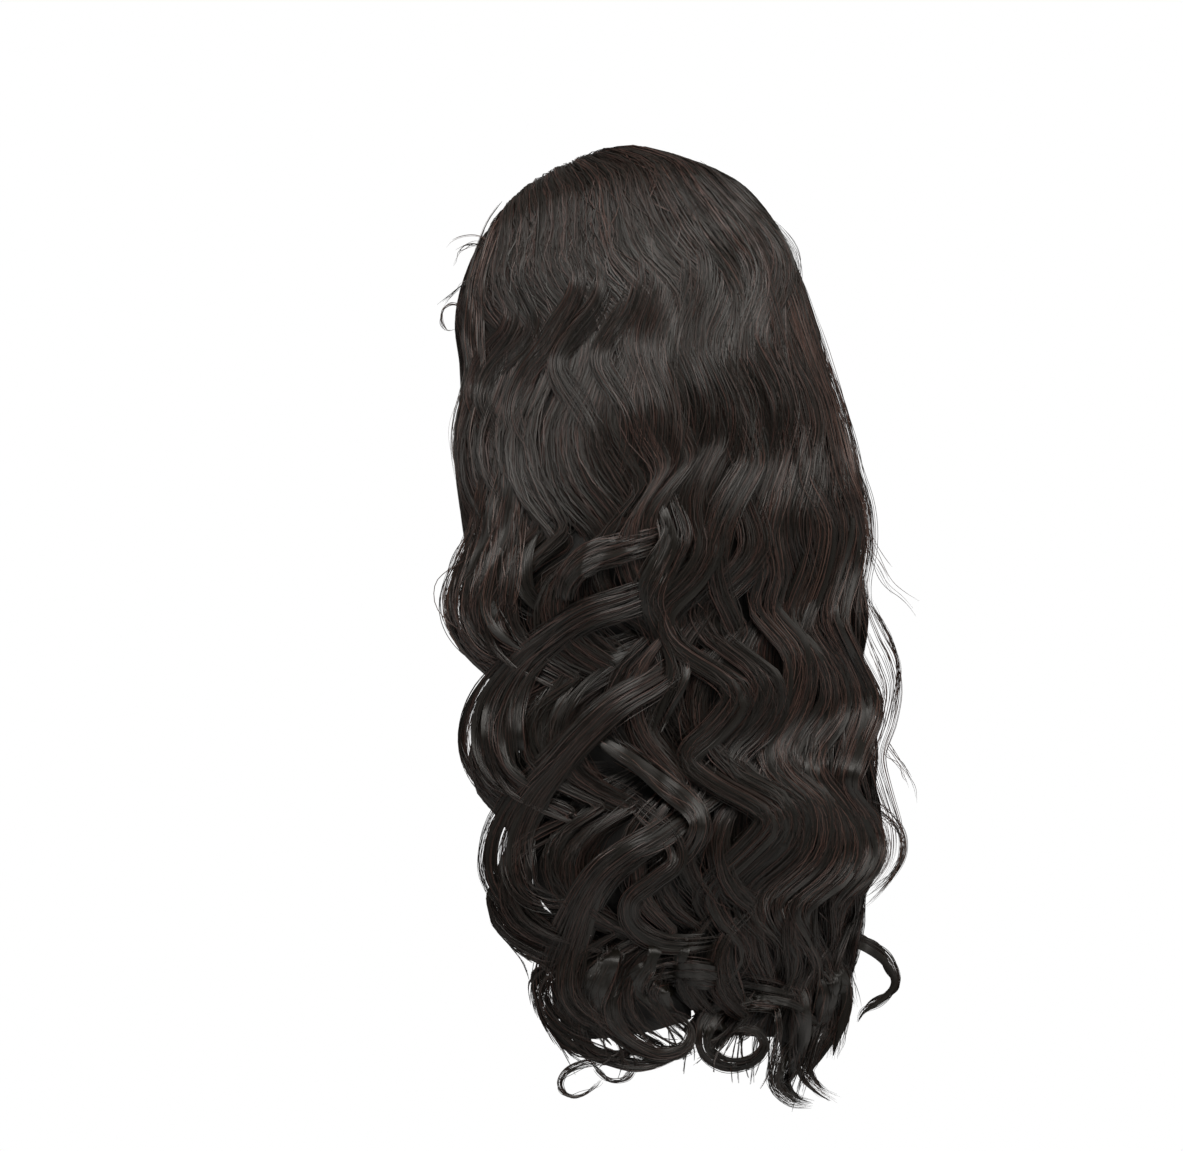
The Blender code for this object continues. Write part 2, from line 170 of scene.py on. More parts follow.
# Colours along the tone of a strand, the streaks of the under hair (darker than any strand: painted shade
# deep in the hair) and the ribs of the elastic
HAIR_COLOURS = (
    (0.0, (0.009, 0.008, 0.006)),
    (0.45, (0.017, 0.014, 0.011)),
    (0.68, (0.030, 0.019, 0.015)),
    (0.85, (0.062, 0.032, 0.026)),
    (1.0, (0.110, 0.062, 0.048)),
)
# The under hair's colours lie below the darkest strand: painted shade behind and between the strands
UNDER_SHADE_COLOURS = ((0.35, (0.001, 0.0009, 0.0008)), (0.75, (0.009, 0.007, 0.0055)))
ELASTIC_COLOURS = ((0.0, (0.010, 0.009, 0.008)), (1.0, (0.045, 0.040, 0.036)))

# Sections of hair: their reach round the head, how far down their locks end, how many
# clumps and strands they hold, and how far the waves of their locks may differ
SECTIONS = {
    "side_right": {
        "reach": (-1.0, -0.66), "ends": (0.90, 0.94, 0.91),
        "clumps": 36, "strands": 560, "loose": 0.6},
    "back_right": {
        "reach": (-0.66, -0.24), "ends": (0.94, 0.97, 0.93),
        "clumps": 44, "strands": 760, "loose": 0.6},
    "back_middle": {
        "reach": (-0.24, 0.24), "ends": (0.93, 0.89, 0.91),
        "clumps": 48, "strands": 900, "loose": 0.5},
    "back_left": {
        "reach": (0.24, 0.66), "ends": (0.90, 0.91, 0.87),
        "clumps": 44, "strands": 800, "loose": 0.3},
    "side_left": {
        "reach": (0.66, 1.0), "ends": (0.87, 0.84, 0.80),
        "clumps": 36, "strands": 620, "loose": 0.15},
}
NAPE = {"reach": (-0.44, 0.44), "ends": (0.86, 0.93, 0.89), "start": 0.06}
LOCKS_PER_SECTION = 6
SECTION_SEED = 100
COMBED_SEED = 7

# Inner bodies: the layers that they fill, from the inner side to the outer, their rows over
# the head and below it, their columns for a lock, and their start from the parting in mm
SECTION_LAYERS = (0.02, 0.28)
NAPE_LAYERS = (-1.0, -0.05)
UNDER = {"head_rows": 14, "fall_rows": 34, "columns": 8, "inset": 0.006,
         "start": 8.0, "hem": 0.01, "groove": 0.3}
PARTING_FADE = 0.3
HEM_FADE = (0.9, 0.75, 0.5, 0.2)

# Corners across a hair, and how far its middle is raised as a share of half its width
STRAND_SHAPE = (2, 0.0)
LOCK_SHAPE = (3, 0.35)

# Width along a hair, as a share of its full width
PROFILES = {
    "strand": {"share": (0.0, 0.03, 0.85, 1.0), "width": (0.6, 1.0, 0.9, 0.3)},
    "lock": {"share": (0.0, 0.05, 0.82, 0.93, 1.0), "width": (0.7, 1.0, 0.8, 0.35, 0.06)},
    "combed": {"share": (0.0, 0.05, 0.8, 1.0), "width": (0.5, 1.0, 0.9, 0.25)},
    "ribbon": {"share": (0.0, 0.2, 0.8, 1.0), "width": (0.1, 1.0, 0.9, 0.1)},
}

# Rows of a hair: worked out finely, then fewer, a straight step apart or closer where it
# bends, in radians
FINE_ROWS = 220
STRAND_ROWS = 58
LOCK_ROWS = 54
STRAIGHT_STEP = 16.0 * MM
BEND_STEP = 0.42
END_MARGIN = 1.001

# The streak pattern starts at another place across it on each hair
RUN_STEP = 0.618
RUN_SPREAD = 0.2

# First point of a hair from the parting, in mm, and how much nearer it is at the temples
ROOT_START = 4.0
ROOT_START_LESS = 2.5

# How the hairs of a clump hang: drawn to the middle of their lock, in grooved layers
# that are pressed flat over the lower crown
LEAST_WIDTH = 20.0 * MM
LOCK_PULL = 0.35
LOCK_GROOVE = 0.35
PLACE_LIMIT = 1.01
LAYER_LIMITS = (0.15, 1.05)
PRESS_LEFT = 0.3
PRESS_RIGHT = 0.5
OUTWARD_STEP = 0.25
STRAY_RATES = (1.5, 6.0)

# Slow drift of the wave's phase round the head and down the hair, calmer at the left
DRIFT = {"amount": (0.9, 0.5), "turn": (5.0, 11.0), "fall": (3.5, -6.0), "phase": (0.6, 0.0)}
DRIFT_CALM = 0.75

# Evening out where the hair leaves the head, and the pull into the curled ends
SEAM_REACH = 0.07
SEAM_SHARE = 0.7
SEAM_PASSES = 24
CURL_PULL = 0.86
CURL_PULL_LENGTHS = 1.7

# How the locks of a section differ from each other: level in layers, wander in mm
SECTION_LOCK = {
    "level": (-0.22, 0.16), "wander": (2.0, 7.0), "rate": (0.6, 1.3), "strength": (0.85, 1.1),
    "end": 0.012,
}

# How the clumps differ: their layer, their wave's shift, their end, and curls in mm
CLUMP = {
    "out": (0.62, 0.98), "shift": 0.16, "end": 0.016, "curl_length": (14.0, 30.0),
    "curl_radius": (9.0, 20.0), "curl_forward": 0.6, "curl_tilt": 0.25,
}

# Loose strands: places in clump widths, starts and ends in stations, widths and strays in mm
STRAND = {
    "scatter": 0.75, "past_edge": 0.01, "above": 0.02, "above_spread": 0.07,
    "first": (0.5, 1.6), "late_share": 0.25, "late_start": (0.05, 0.8), "short_end": 0.03,
    "stray": 1.6, "wild_share": 0.06, "wild_more": 3.0, "gather": 0.45,
    "width": (0.28, 0.62), "twist": 0.8, "twist_sway": 0.4, "twist_rate": (0.5, 2.5),
    "clump_tone": 0.25,
}

# Broad flat locks below them
LOCK = {
    "per_clump": 3, "scatter": 0.5, "inset": 0.005, "below": 0.12, "deep": (0.2, 0.5),
    "short_end": 0.02, "gather": 0.3, "breadth": 1.7, "twist": 0.25, "twist_rate": (0.5, 2.0),
    "tone": 0.8,
}

# Locks combed over the side that the picture shows, laid on the hair. The path, the half
# width and the looseness of each are in the picture's pixels; its lift and its crown over
# the middle are in millimetres; sunk says how much its root and its tip dive into the hair,
# and ends over which shares of its path the hairs start and stop
LAID_ROWS = 42
LAY_PASSES = 14
STRANDS_MORE = 1.6
FRIZZ_SHARE = 0.1
FRIZZ_MORE = 2.2

# Where the picture divides the combed strands into pieces: above a row, left of a column
UPPER_ROWS = 700
MIDDLE_COLUMN = 650

# How their hairs lie: sways and slips in pixels, widths and depths in mm; the ribbons below the strands
# keep to the dark end of the tones as painted shade between the strands
COMB = {
    "least_half": 0.5, "side_power": 0.85, "sway": 0.6, "sway_by_width": 0.05,
    "sway_rate": (0.6, 3.0), "slip": 5.0, "slip_by_offset": 0.25, "uneven": 0.8, "dive": 4.5,
    "toward_eye": 0.6, "strand_spread": 1.1, "strand_width": (0.2, 0.46), "strand_twist": 0.8,
    "tone_spread": 0.45, "ribbon_spread": 0.95, "ribbon_depth": 1.0, "ribbon_lap": 2.0,
    "ribbon_twist": 0.3, "ribbon_shade_tone": 0.3,
}
LOCK_DEFAULTS = {
    "level": False, "tone": 0.45, "ribbons": 0, "lift": 1.5, "crown": 2.0, "loose": 1.6,
    "sunk": (1.0, 1.0), "ends": (0.3, 0.3),
}
LOOSE = {"crown": 0.0, "sunk": (1.0, 0.0)}

# The waves behind the head: one shifting path, repeated from a column to the right, each
# a little earlier or later and with a stronger shift, in the picture's pixels
UPPER_WAVE_LOCKS = 7
UPPER_WAVE_START = 636
UPPER_WAVE_STEP = 22
UPPER_WAVE_EARLY = 8.0
UPPER_WAVE_EARLY_TURN = 1.9
UPPER_WAVE_SHARE = 0.75
UPPER_WAVE_SHARE_STEP = 0.05
UPPER_WAVE = {
    "y": (185, 212, 234, 256, 280, 304, 328, 350, 372, 396, 420, 446, 472, 500),
    "shift": (-52, -26, -3, 11, 15, 9, -2, -4, 6, 17, 21, 17, 8, 0),
}
COMBED = {
    "left_edge": {
        "x": (508, 494, 484, 476, 474, 473, 475, 470, 463, 460, 464, 474),
        "y": (205, 225, 250, 280, 310, 340, 365, 390, 415, 440, 470, 505),
        "half": (8, 8, 8, 8, 9, 10, 9, 9, 9, 9, 9, 8), "strands": 34, "tone": 0.62},
    "temple_1": {
        "x": (524, 508, 500, 506, 512, 506, 492, 478, 472, 478, 490, 500, 504),
        "y": (222, 245, 270, 292, 312, 332, 350, 370, 394, 414, 432, 452, 476),
        "half": (8, 9, 9, 9, 9, 9, 10, 9, 8, 8, 9, 9, 8), "strands": 38},
    "temple_2": {
        "x": (550, 530, 515, 513, 522, 530, 520, 502, 488, 482, 490, 503, 514, 516),
        "y": (214, 234, 258, 280, 300, 322, 342, 360, 380, 400, 420, 438, 458, 482),
        "half": (8, 9, 9, 9, 9, 9, 10, 10, 9, 9, 9, 9, 9, 8), "strands": 40},
    "temple_3": {
        "x": (540, 556, 571, 579, 574, 560, 546, 530, 518, 512, 516, 528, 537),
        "y": (226, 236, 252, 274, 298, 322, 345, 366, 388, 410, 430, 450, 478),
        "half": (6, 8, 9, 9, 10, 11, 11, 10, 10, 9, 9, 10, 10), "strands": 44, "crown": 5.0},
    "temple_4": {
        "x": (575, 590, 601, 604, 596, 580, 565, 557, 562, 576, 590, 598, 598),
        "y": (224, 238, 256, 280, 304, 325, 345, 362, 380, 402, 426, 450, 478),
        "half": (8, 9, 10, 10, 10, 11, 10, 9, 10, 11, 11, 11, 10), "strands": 44, "crown": 4.0},
    "temple_5": {
        "x": (602, 619, 631, 635, 628, 614, 602, 602, 614, 626, 632, 630, 622),
        "y": (224, 240, 260, 284, 308, 330, 350, 366, 386, 408, 432, 456, 482),
        "half": (8, 10, 11, 11, 11, 11, 11, 11, 11, 11, 11, 11, 10), "strands": 44},
    "right_edge": {
        "x": (690, 735, 770, 792, 806, 818, 832, 842, 850, 862, 866, 860, 862, 874),
        "y": (160, 196, 242, 290, 332, 366, 402, 440, 474, 508, 545, 580, 605, 632),
        "half": (7, 9, 11, 13, 13, 12, 11, 12, 12, 10, 8, 8, 8, 6), "strands": 60, "tone": 0.72},
    "right_groove": {
        "x": (700, 730, 752, 768, 780, 790, 806, 814, 810, 808, 822, 834, 838),
        "y": (190, 210, 240, 280, 320, 358, 392, 424, 452, 478, 505, 532, 560),
        "half": (8, 9, 10, 10, 10, 10, 10, 10, 10, 10, 10, 10, 8), "strands": 40, "tone": 0.58},
    "lobe_1": {
        "x": (516, 508, 500, 494, 484, 477, 486, 508, 540),
        "y": (425, 462, 500, 538, 572, 606, 634, 650, 660),
        "half": (20, 22, 24, 25, 30, 33, 27, 18, 8), "strands": 120, "ribbons": 14, "tone": 0.66,
        "crown": 6.0},
    # The arch's low tone is painted shade under the lock above it
    "arch": {
        "x": (620, 590, 560, 535, 520, 515, 522, 545, 575),
        "y": (488, 486, 494, 514, 542, 572, 596, 614, 622),
        "half": (8, 12, 14, 14, 14, 15, 14, 10, 6), "strands": 60, "ribbons": 8, "tone": 0.15,
        "lift": -1.0, "crown": 0.0},
    "small_ridge": {
        "x": (676, 652, 622, 594, 574, 564, 566, 584),
        "y": (530, 540, 548, 556, 570, 590, 610, 626),
        "half": (9, 12, 14, 14, 12, 10, 8, 5), "strands": 60, "ribbons": 8, "lift": 0.5, "crown": 2.0},
    "ridge_1": {
        "x": (700, 668, 628, 586, 549, 518, 497, 491, 502, 530, 566),
        "y": (556, 584, 602, 616, 640, 668, 704, 742, 775, 793, 798),
        "half": (8, 12, 15, 15, 15, 18, 26, 30, 26, 18, 9), "strands": 120, "ribbons": 14,
        "lift": 2.5, "crown": 4.5},
    # Low tone: painted shade in the hollow between the ridges
    "hollow_2": {
        "x": (650, 622, 592, 566, 550, 548, 562, 588, 615),
        "y": (636, 648, 664, 688, 716, 742, 760, 768, 766),
        "half": (8, 12, 14, 15, 15, 14, 11, 8, 5), "strands": 56, "ribbons": 8, "tone": 0.3,
        "lift": -1.0, "crown": 0.0},
    "ridge_2": {
        "x": (722, 694, 655, 617, 586, 556, 528, 510, 509, 524, 554, 592),
        "y": (628, 656, 682, 704, 732, 766, 800, 838, 872, 898, 908, 902),
        "half": (8, 10, 13, 14, 14, 15, 19, 24, 26, 20, 13, 7), "strands": 120, "ribbons": 14,
        "lift": 2.5, "crown": 4.5},
    # Low tone: painted shade in the hollow between the ridges
    "hollow_3": {
        "x": (655, 628, 598, 574, 562, 562, 578, 604),
        "y": (768, 782, 802, 828, 852, 874, 890, 896),
        "half": (8, 12, 15, 15, 14, 12, 9, 5), "strands": 50, "ribbons": 7, "tone": 0.25,
        "lift": -1.0, "crown": 0.0},
    "ridge_3": {
        "x": (735, 700, 664, 630, 602, 583, 570, 561, 564, 584, 618),
        "y": (782, 806, 834, 854, 876, 905, 940, 972, 1000, 1022, 1034),
        "half": (8, 10, 13, 14, 15, 16, 20, 23, 21, 15, 8), "strands": 110, "ribbons": 12,
        "lift": 2.5, "crown": 4.5},
    "cross_lock": {
        "x": (588, 612, 640, 668, 692, 700, 690, 668),
        "y": (722, 744, 763, 784, 804, 826, 850, 872),
        "half": (5, 8, 9, 10, 10, 9, 8, 5), "strands": 34, "ribbons": 4, "tone": 0.6, "lift": 4.5,
        "crown": 3.0},
    "small_loop": {
        "x": (612, 644, 670, 677, 654, 631, 634, 662, 700, 735),
        "y": (786, 812, 836, 862, 882, 902, 926, 943, 944, 936),
        "half": (5, 8, 9, 9, 9, 9, 9, 9, 8, 5), "strands": 40, "ribbons": 5, "lift": 4.5, "crown": 3.0},
    "low_band_1": {
        "level": True,
        "x": (656, 668, 660, 650, 664, 672), "y": (930, 950, 972, 992, 1012, 1034),
        "half": (14, 15, 15, 15, 13, 8), "strands": 40, "ribbons": 4, "sunk": (1.0, 0.4)},
    "low_band_2": {
        "level": True,
        "x": (604, 612, 606, 598, 604, 618), "y": (930, 952, 976, 1000, 1024, 1046),
        "half": (12, 14, 15, 14, 11, 7), "strands": 40, "ribbons": 4, "sunk": (1.0, 0.4)},
    "low_curl_1": {
        "x": (584, 578, 584, 600, 620, 632, 628, 616), "y": (996, 1022, 1044, 1056, 1056, 1044, 1032, 1030),
        "half": (9, 8, 7, 6, 5, 4, 3, 2), "strands": 30, "ribbons": 3, "sunk": (1.0, 0.0), "crown": 1.0},
    "low_curl_2": {
        "x": (742, 738, 726, 716, 712, 720), "y": (996, 1012, 1024, 1036, 1050, 1058),
        "half": (12, 12, 10, 8, 6, 4), "strands": 30, "ribbons": 3, "sunk": (1.0, 0.0), "crown": 1.0},
    "low_arc": {
        "x": (688, 716, 752, 788, 816, 834), "y": (1020, 1008, 1003, 1008, 1024, 1048),
        "half": (6, 7, 7, 7, 7, 6), "strands": 34, "ribbons": 3, "lift": 3.0, "sunk": (1.0, 0.3)},
    "low_strands": {
        "x": (812, 836, 842, 838, 832), "y": (950, 972, 1000, 1030, 1060),
        "half": (10, 10, 9, 8, 6), "strands": 36, "ribbons": 3, "sunk": (1.0, 0.0),
        "ends": (0.2, 0.4), "tone": 0.6},
    "middle_1": {
        "level": True,
        "x": (655, 666, 676, 664, 650, 664, 676, 662, 646),
        "y": (470, 500, 534, 566, 600, 634, 668, 706, 744),
        "half": (13, 14, 14, 13, 13, 14, 14, 13, 9), "strands": 60, "ribbons": 8},
    "middle_2": {
        "level": True,
        "x": (686, 702, 712, 694, 664, 676, 738, 722, 690, 716, 770, 752, 708, 716, 738, 712),
        "y": (462, 502, 545, 582, 612, 648, 690, 726, 758, 784, 816, 848, 890, 922, 955, 1000),
        "half": (12, 14, 14, 15, 14, 14, 15, 15, 14, 14, 14, 14, 14, 15, 15, 12), "strands": 90,
        "ribbons": 9, "crown": 5.0},
    "middle_3": {
        "level": True,
        "x": (724, 744, 757, 738, 706, 716, 768, 762, 730, 744, 794, 792, 748, 742, 770, 752),
        "y": (456, 500, 543, 576, 606, 640, 682, 718, 752, 778, 806, 846, 886, 918, 950, 1004),
        "half": (13, 15, 15, 15, 15, 15, 15, 15, 15, 15, 15, 15, 15, 15, 15, 14), "strands": 90,
        "ribbons": 9},
    "middle_4": {
        "level": True,
        "x": (766, 776, 766, 774, 766, 800, 796, 774, 782, 820, 818, 776, 780, 806, 788),
        "y": (452, 488, 530, 572, 612, 656, 700, 742, 772, 808, 856, 896, 926, 960, 1012),
        "half": (14, 14, 15, 15, 15, 15, 15, 15, 15, 15, 15, 15, 16, 16, 14), "strands": 90, "ribbons": 9,
        "tone": 0.6},
    "middle_5": {
        "level": True,
        "x": (800, 806, 824, 816, 800, 832, 836, 812, 812, 846, 842, 800, 812, 826, 816),
        "y": (456, 486, 524, 572, 622, 668, 708, 744, 776, 822, 866, 906, 940, 972, 1020),
        "half": (12, 13, 14, 15, 15, 15, 15, 15, 15, 15, 15, 14, 14, 13, 12), "strands": 85, "ribbons": 9,
        "tone": 0.62},
    "middle_6": {
        "level": True,
        "x": (838, 844, 854, 846, 834, 852, 870, 856, 846, 872, 872, 838, 832, 840),
        "y": (450, 486, 528, 572, 616, 660, 704, 748, 788, 826, 864, 904, 940, 985),
        "half": (12, 12, 12, 12, 13, 13, 14, 13, 12, 12, 12, 12, 10, 7), "strands": 70, "ribbons": 7,
        "tone": 0.66},
    "edge_strands": {
        "x": (862, 864, 874, 886, 893, 888, 878, 886, 897, 894, 874, 850),
        "y": (572, 604, 636, 662, 690, 722, 756, 792, 830, 864, 892, 912),
        "half": (5, 6, 10, 12, 10, 10, 9, 8, 7, 7, 7, 5), "strands": 12, "tone": 0.7, "crown": 0.0},
    "edge_line": {
        "x": (862, 868, 880, 892, 898, 895, 886), "y": (570, 598, 620, 644, 672, 702, 726),
        "half": (2, 2, 1.5, 1.5, 1.5, 2, 2), "strands": 10, "tone": 0.5, "crown": 0.0},
    "edge_loop": {
        "x": (858, 882, 900, 903, 894, 876, 856), "y": (800, 810, 830, 852, 872, 892, 908),
        "half": (4, 4, 3, 2, 2, 4, 5), "strands": 16, "tone": 0.6, "crown": 0.0},
    "bottom_band": {
        "x": (620, 640, 668, 700, 738, 776, 812), "y": (1004, 984, 974, 974, 982, 990, 1000),
        "half": (8, 12, 12, 12, 10, 9, 6), "strands": 40, "ribbons": 5, "lift": 3.0, "crown": 3.0},
    "bottom_left": {
        "x": (640, 622, 612, 616, 634, 662, 686, 690, 676, 656),
        "y": (946, 970, 998, 1024, 1044, 1054, 1046, 1028, 1016, 1014),
        "half": (12, 12, 11, 10, 8, 7, 6, 4, 3, 2), "strands": 46, "ribbons": 5, "lift": 3.0,
        "sunk": (1.0, 0.0), "ends": (0.12, 0.3)},
    "bottom_curl": {
        "x": (770, 742, 716, 704, 706, 726, 750, 764, 756, 736, 722),
        "y": (968, 990, 1010, 1030, 1052, 1065, 1062, 1046, 1032, 1028, 1038),
        "half": (10, 10, 9, 8, 7, 6, 5, 4, 3, 3, 2), "strands": 46, "ribbons": 5, "lift": 3.0,
        "sunk": (1.0, 0.0), "ends": (0.12, 0.25)},
    "bottom_swoop": {
        "x": (552, 562, 578, 606, 642, 674, 704), "y": (990, 1022, 1044, 1058, 1064, 1056, 1045),
        "half": (9, 8, 6, 5, 5, 4, 2), "strands": 30, "ribbons": 3, **LOOSE},
    "bottom_hang": {
        "x": (776, 792, 796, 784, 780, 794, 814), "y": (972, 1004, 1036, 1064, 1084, 1100, 1104),
        "half": (16, 18, 18, 14, 9, 6, 4), "strands": 70, "ribbons": 6, "sunk": (1.0, 0.0),
        "ends": (0.1, 0.35), "loose": 2.0},
    "bottom_right": {
        "x": (826, 832, 826, 812, 806, 818, 838), "y": (960, 992, 1024, 1050, 1070, 1088, 1102),
        "half": (12, 12, 12, 10, 7, 5, 5), "strands": 50, "ribbons": 4, "sunk": (1.0, 0.0),
        "ends": (0.1, 0.35), "loose": 2.0, "tone": 0.6},
    "open_loop_1": {
        "x": (640, 604, 572, 560, 566, 580, 594, 602),
        "y": (1056, 1060, 1068, 1082, 1094, 1096, 1088, 1078),
        "half": (4, 4, 3, 2, 1.5, 1, 1, 1), "strands": 14, **LOOSE, "ends": (0.1, 0.3)},
    "open_loop_2": {
        "x": (586, 596, 610, 628, 636, 640), "y": (1050, 1068, 1080, 1078, 1064, 1050),
        "half": (3, 2, 1.5, 1.5, 2, 3), "strands": 10, "crown": 0.0},
    "loose_curl": {
        "x": (824, 846, 868, 886, 896, 894, 880, 864, 857),
        "y": (908, 932, 943, 956, 974, 988, 1001, 1011, 1022),
        "half": (7, 5, 4, 4, 3.5, 3, 2.5, 2, 1), "strands": 26, "ribbons": 2, **LOOSE, "ends": (0.05, 0.2)},
    "loose_ends": {
        "x": (822, 842, 852, 857), "y": (930, 956, 982, 1008),
        "half": (6, 7, 5, 3), "strands": 12, **LOOSE, "ends": (0.1, 0.5)},
    "baby_hair_1": {
        "x": (490, 470, 454, 438), "y": (262, 279, 292, 307),
        "half": (2, 1.5, 1.5, 3), "strands": 5, **LOOSE, "tone": 0.6},
    "baby_hair_ring": {
        "x": (480, 466, 454, 443, 441, 447, 456), "y": (322, 311, 304, 309, 321, 331, 330),
        "half": (2, 1, 1, 1, 1, 1.5, 2), "strands": 6, **LOOSE, "tone": 0.6},
    "baby_hair_2": {
        "x": (492, 474, 456, 446), "y": (246, 240, 246, 262),
        "half": (4, 5, 7, 8), "strands": 5, **LOOSE, "ends": (0.1, 0.6), "tone": 0.6},
    "flyaway_right": {
        "x": (858, 872, 888, 906, 928), "y": (520, 548, 574, 592, 612),
        "half": (6, 6, 8, 10, 12), "strands": 5, **LOOSE, "ends": (0.1, 0.6), "tone": 0.7},
    "flyaway_low": {
        "x": (884, 898, 910, 916), "y": (745, 762, 782, 812),
        "half": (5, 3, 3, 4), "strands": 5, **LOOSE, "ends": (0.1, 0.5), "tone": 0.7},
}


def unit(vectors):
    """Vectors of length one."""
    return vectors / np.maximum(np.linalg.norm(vectors, axis=-1, keepdims=True), 1e-12)


def smooth(value):
    """An eased step from 0 to 1."""
    value = np.clip(value, 0.0, 1.0)
    return value * value * (3.0 - 2.0 * value)


def eased(value, start, over):
    """An eased step that starts at a value and is done past a reach."""
    return smooth((value - start) / over)


def head_axes(y, z, grow):
    """Half axes of the head, grown by a length, for the side that a point is on."""
    side = np.full_like(y, HEAD_HALF_WIDTH + grow)
    depth = np.where(y > 0.0, HEAD_BACK, HEAD_FRONT) + grow
    height = np.where(z > 0.0, HEAD_TOP, HEAD_BOTTOM) + grow
    return side, depth, height


def head_point(direction, grow):
    """Point over the head in a direction from its centre."""
    x, y, z = np.moveaxis(direction, -1, 0)
    side, depth, height = head_axes(y, z, grow)
    radius = 1.0 / np.sqrt((x / side) ** 2 + (y / depth) ** 2 + (z / height) ** 2)
    return direction * radius[..., None]


def fall_value(column, drop):
    """A column of the fall table, eased between its rows."""
    ease = 0.035
    tries = (np.interp(drop + step, FALL["drop"], FALL[column]) for step in (-ease, 0.0, ease))
    return sum(tries) / 3.0


def parting_direction(place):
    """Where the hair at a place round the head starts along the parting."""
    along = np.clip((np.abs(place) - PARTING_REACH) / (1.0 - PARTING_REACH), 0.0, 1.0)
    angle = np.radians(PARTING_BACK_ANGLE + along * (PARTING_FRONT_ANGLE - PARTING_BACK_ANGLE))
    offset = np.full_like(angle, PARTING_OFFSET / HEAD_TOP)
    return unit(np.stack((offset, -np.sin(angle), np.cos(angle)), axis=-1))


def ear_direction(place):
    """Where the hair at a place round the head reaches the height of the ears."""
    turn = np.radians(place * FRONT_WRAP)
    depth = np.where(np.cos(turn) > 0.0, HEAD_BACK, HEAD_FRONT)
    side = HEAD_HALF_WIDTH * np.sin(turn)
    return unit(np.stack((side, depth * np.cos(turn), np.zeros_like(turn)), axis=-1))


def head_arc(place):
    """Angle over the head from the parting to the height of the ears."""
    cosine = np.sum(parting_direction(place) * ear_direction(place), axis=-1)
    return np.arccos(np.clip(cosine, -1.0, 1.0))


def over_head(place, share, out, lift):
    """Hair on the head: an arc from the parting to the height of the ears."""
    start = parting_direction(place)
    end = ear_direction(place)
    arc = head_arc(place)
    first = np.sin((1.0 - share) * arc) / np.sin(arc)
    second = np.sin(share * arc) / np.sin(arc)
    direction = unit(first[..., None] * start + second[..., None] * end)
    root = ROOT_THICKNESS * (1.0 + ROOT_LEAN * place)
    thickness = root + (HEAD_THICKNESS - root) * share
    rise = CAP_WALL + HAIR_CLEARANCE + lift + out * thickness
    return head_point(direction, 0.0) + direction * rise[..., None]


def in_fall(place, drop, out, lift):
    """Hair below the ears: a wide bow round the back of the neck."""
    turn = np.radians(place * FRONT_WRAP * fall_value("wrap", drop))
    outer = out * FALL_THICKNESS * fall_value("thickness", drop)
    under = out * UNDER_THICKNESS * fall_value("under", drop)
    rise = CAP_WALL + HAIR_CLEARANCE + lift + np.where(out > 0.0, outer, under)
    side = HEAD_HALF_WIDTH + SIDE_SPREAD * fall_value("spread", drop) + rise
    back = HEAD_BACK * fall_value("back", drop) + rise
    front = HEAD_FRONT * fall_value("front", drop) + rise
    depth = np.where(np.cos(turn) > 0.0, back, front)
    x = side * np.sin(turn)
    y = BACK_DRIFT * fall_value("drift", drop) + depth * np.cos(turn)
    return np.stack((x, y, -drop * FALL_LENGTH), axis=-1)


def flat_point(place, station, out, lift):
    """A point of the combed hair before its sideways wave, from the head's centre."""
    place, station, out, lift = np.broadcast_arrays(place, station, out, lift)
    share = np.clip(station, 0.0, 1.0)
    drop = np.clip(station - 1.0, 0.0, None)
    head = over_head(place, share, out, lift)
    fall = in_fall(place, drop, out, lift)
    return np.where((station < 1.0)[..., None], head, fall)


def clear_of_cap(points):
    """Points pushed out sideways where they would come too near the cap."""
    x, y, z = np.moveaxis(points, -1, 0)
    side, depth, height = head_axes(y, z, CAP_WALL + HAIR_CLEARANCE)
    level = np.clip(1.0 - (z / height) ** 2, 0.0, None)
    inside = np.maximum((x / side) ** 2 + (y / depth) ** 2, 1e-9)
    push = np.where(z < 0.0, np.maximum(1.0, np.sqrt(level / inside)), 1.0)
    return np.stack((x * push, y * push, z), axis=-1)


def place_width(place, station):
    """Length round the head for one unit of place."""
    step = 0.01
    ahead = flat_point(place + step, station, 0.0, 0.0)
    behind = flat_point(place - step, station, 0.0, 0.0)
    return np.maximum(np.linalg.norm(ahead - behind, axis=-1) / (2.0 * step), LEAST_WIDTH)


def wave_turn(place, station):
    """Angle of the body wave, a whole turn from one crest to the next."""
    share = np.clip(station, 0.0, 1.0)
    drop = np.clip(station - 1.0, 0.0, None)
    height = head_arc(place) * HEAD_TOP * (1.0 - share) - drop * FALL_LENGTH
    lengths = (height + WAVE_TILT * (place - 1.0)) / WAVE_LENGTH
    crest = np.interp(-lengths, [-value for value in WAVE["height"]], WAVE["crest"])
    return 2.0 * np.pi * crest


def share_at(column, place):
    """How strong a part of the wave is at a place round the head."""
    return np.interp(place, WAVE_SHARES["place"], WAVE_SHARES[column])


def inside_outline(points):
    """Points eased inward where they would pass the left outline below the ears."""
    azimuth = math.radians(CAMERA_AZIMUTH)
    right = np.array((math.cos(azimuth), math.sin(azimuth), 0.0))
    across = points @ right
    height = points[..., 2]
    heights = [value * MM for value in reversed(LEFT_OUTLINE["height"])]
    edges = [value * MM for value in reversed(LEFT_OUTLINE["edge"])]
    inner = np.interp(height, heights, edges) + OUTLINE_SOFTNESS
    past = np.clip(inner - across, 0.0, None)
    kept = inner - OUTLINE_SOFTNESS * (1.0 - np.exp(-past / OUTLINE_SOFTNESS))
    share = eased(-height, start=OUTLINE_DEPTH, over=OUTLINE_FADE)
    push = np.where(past > 0.0, (kept - across) * share, 0.0)
    return points + push[..., None] * right


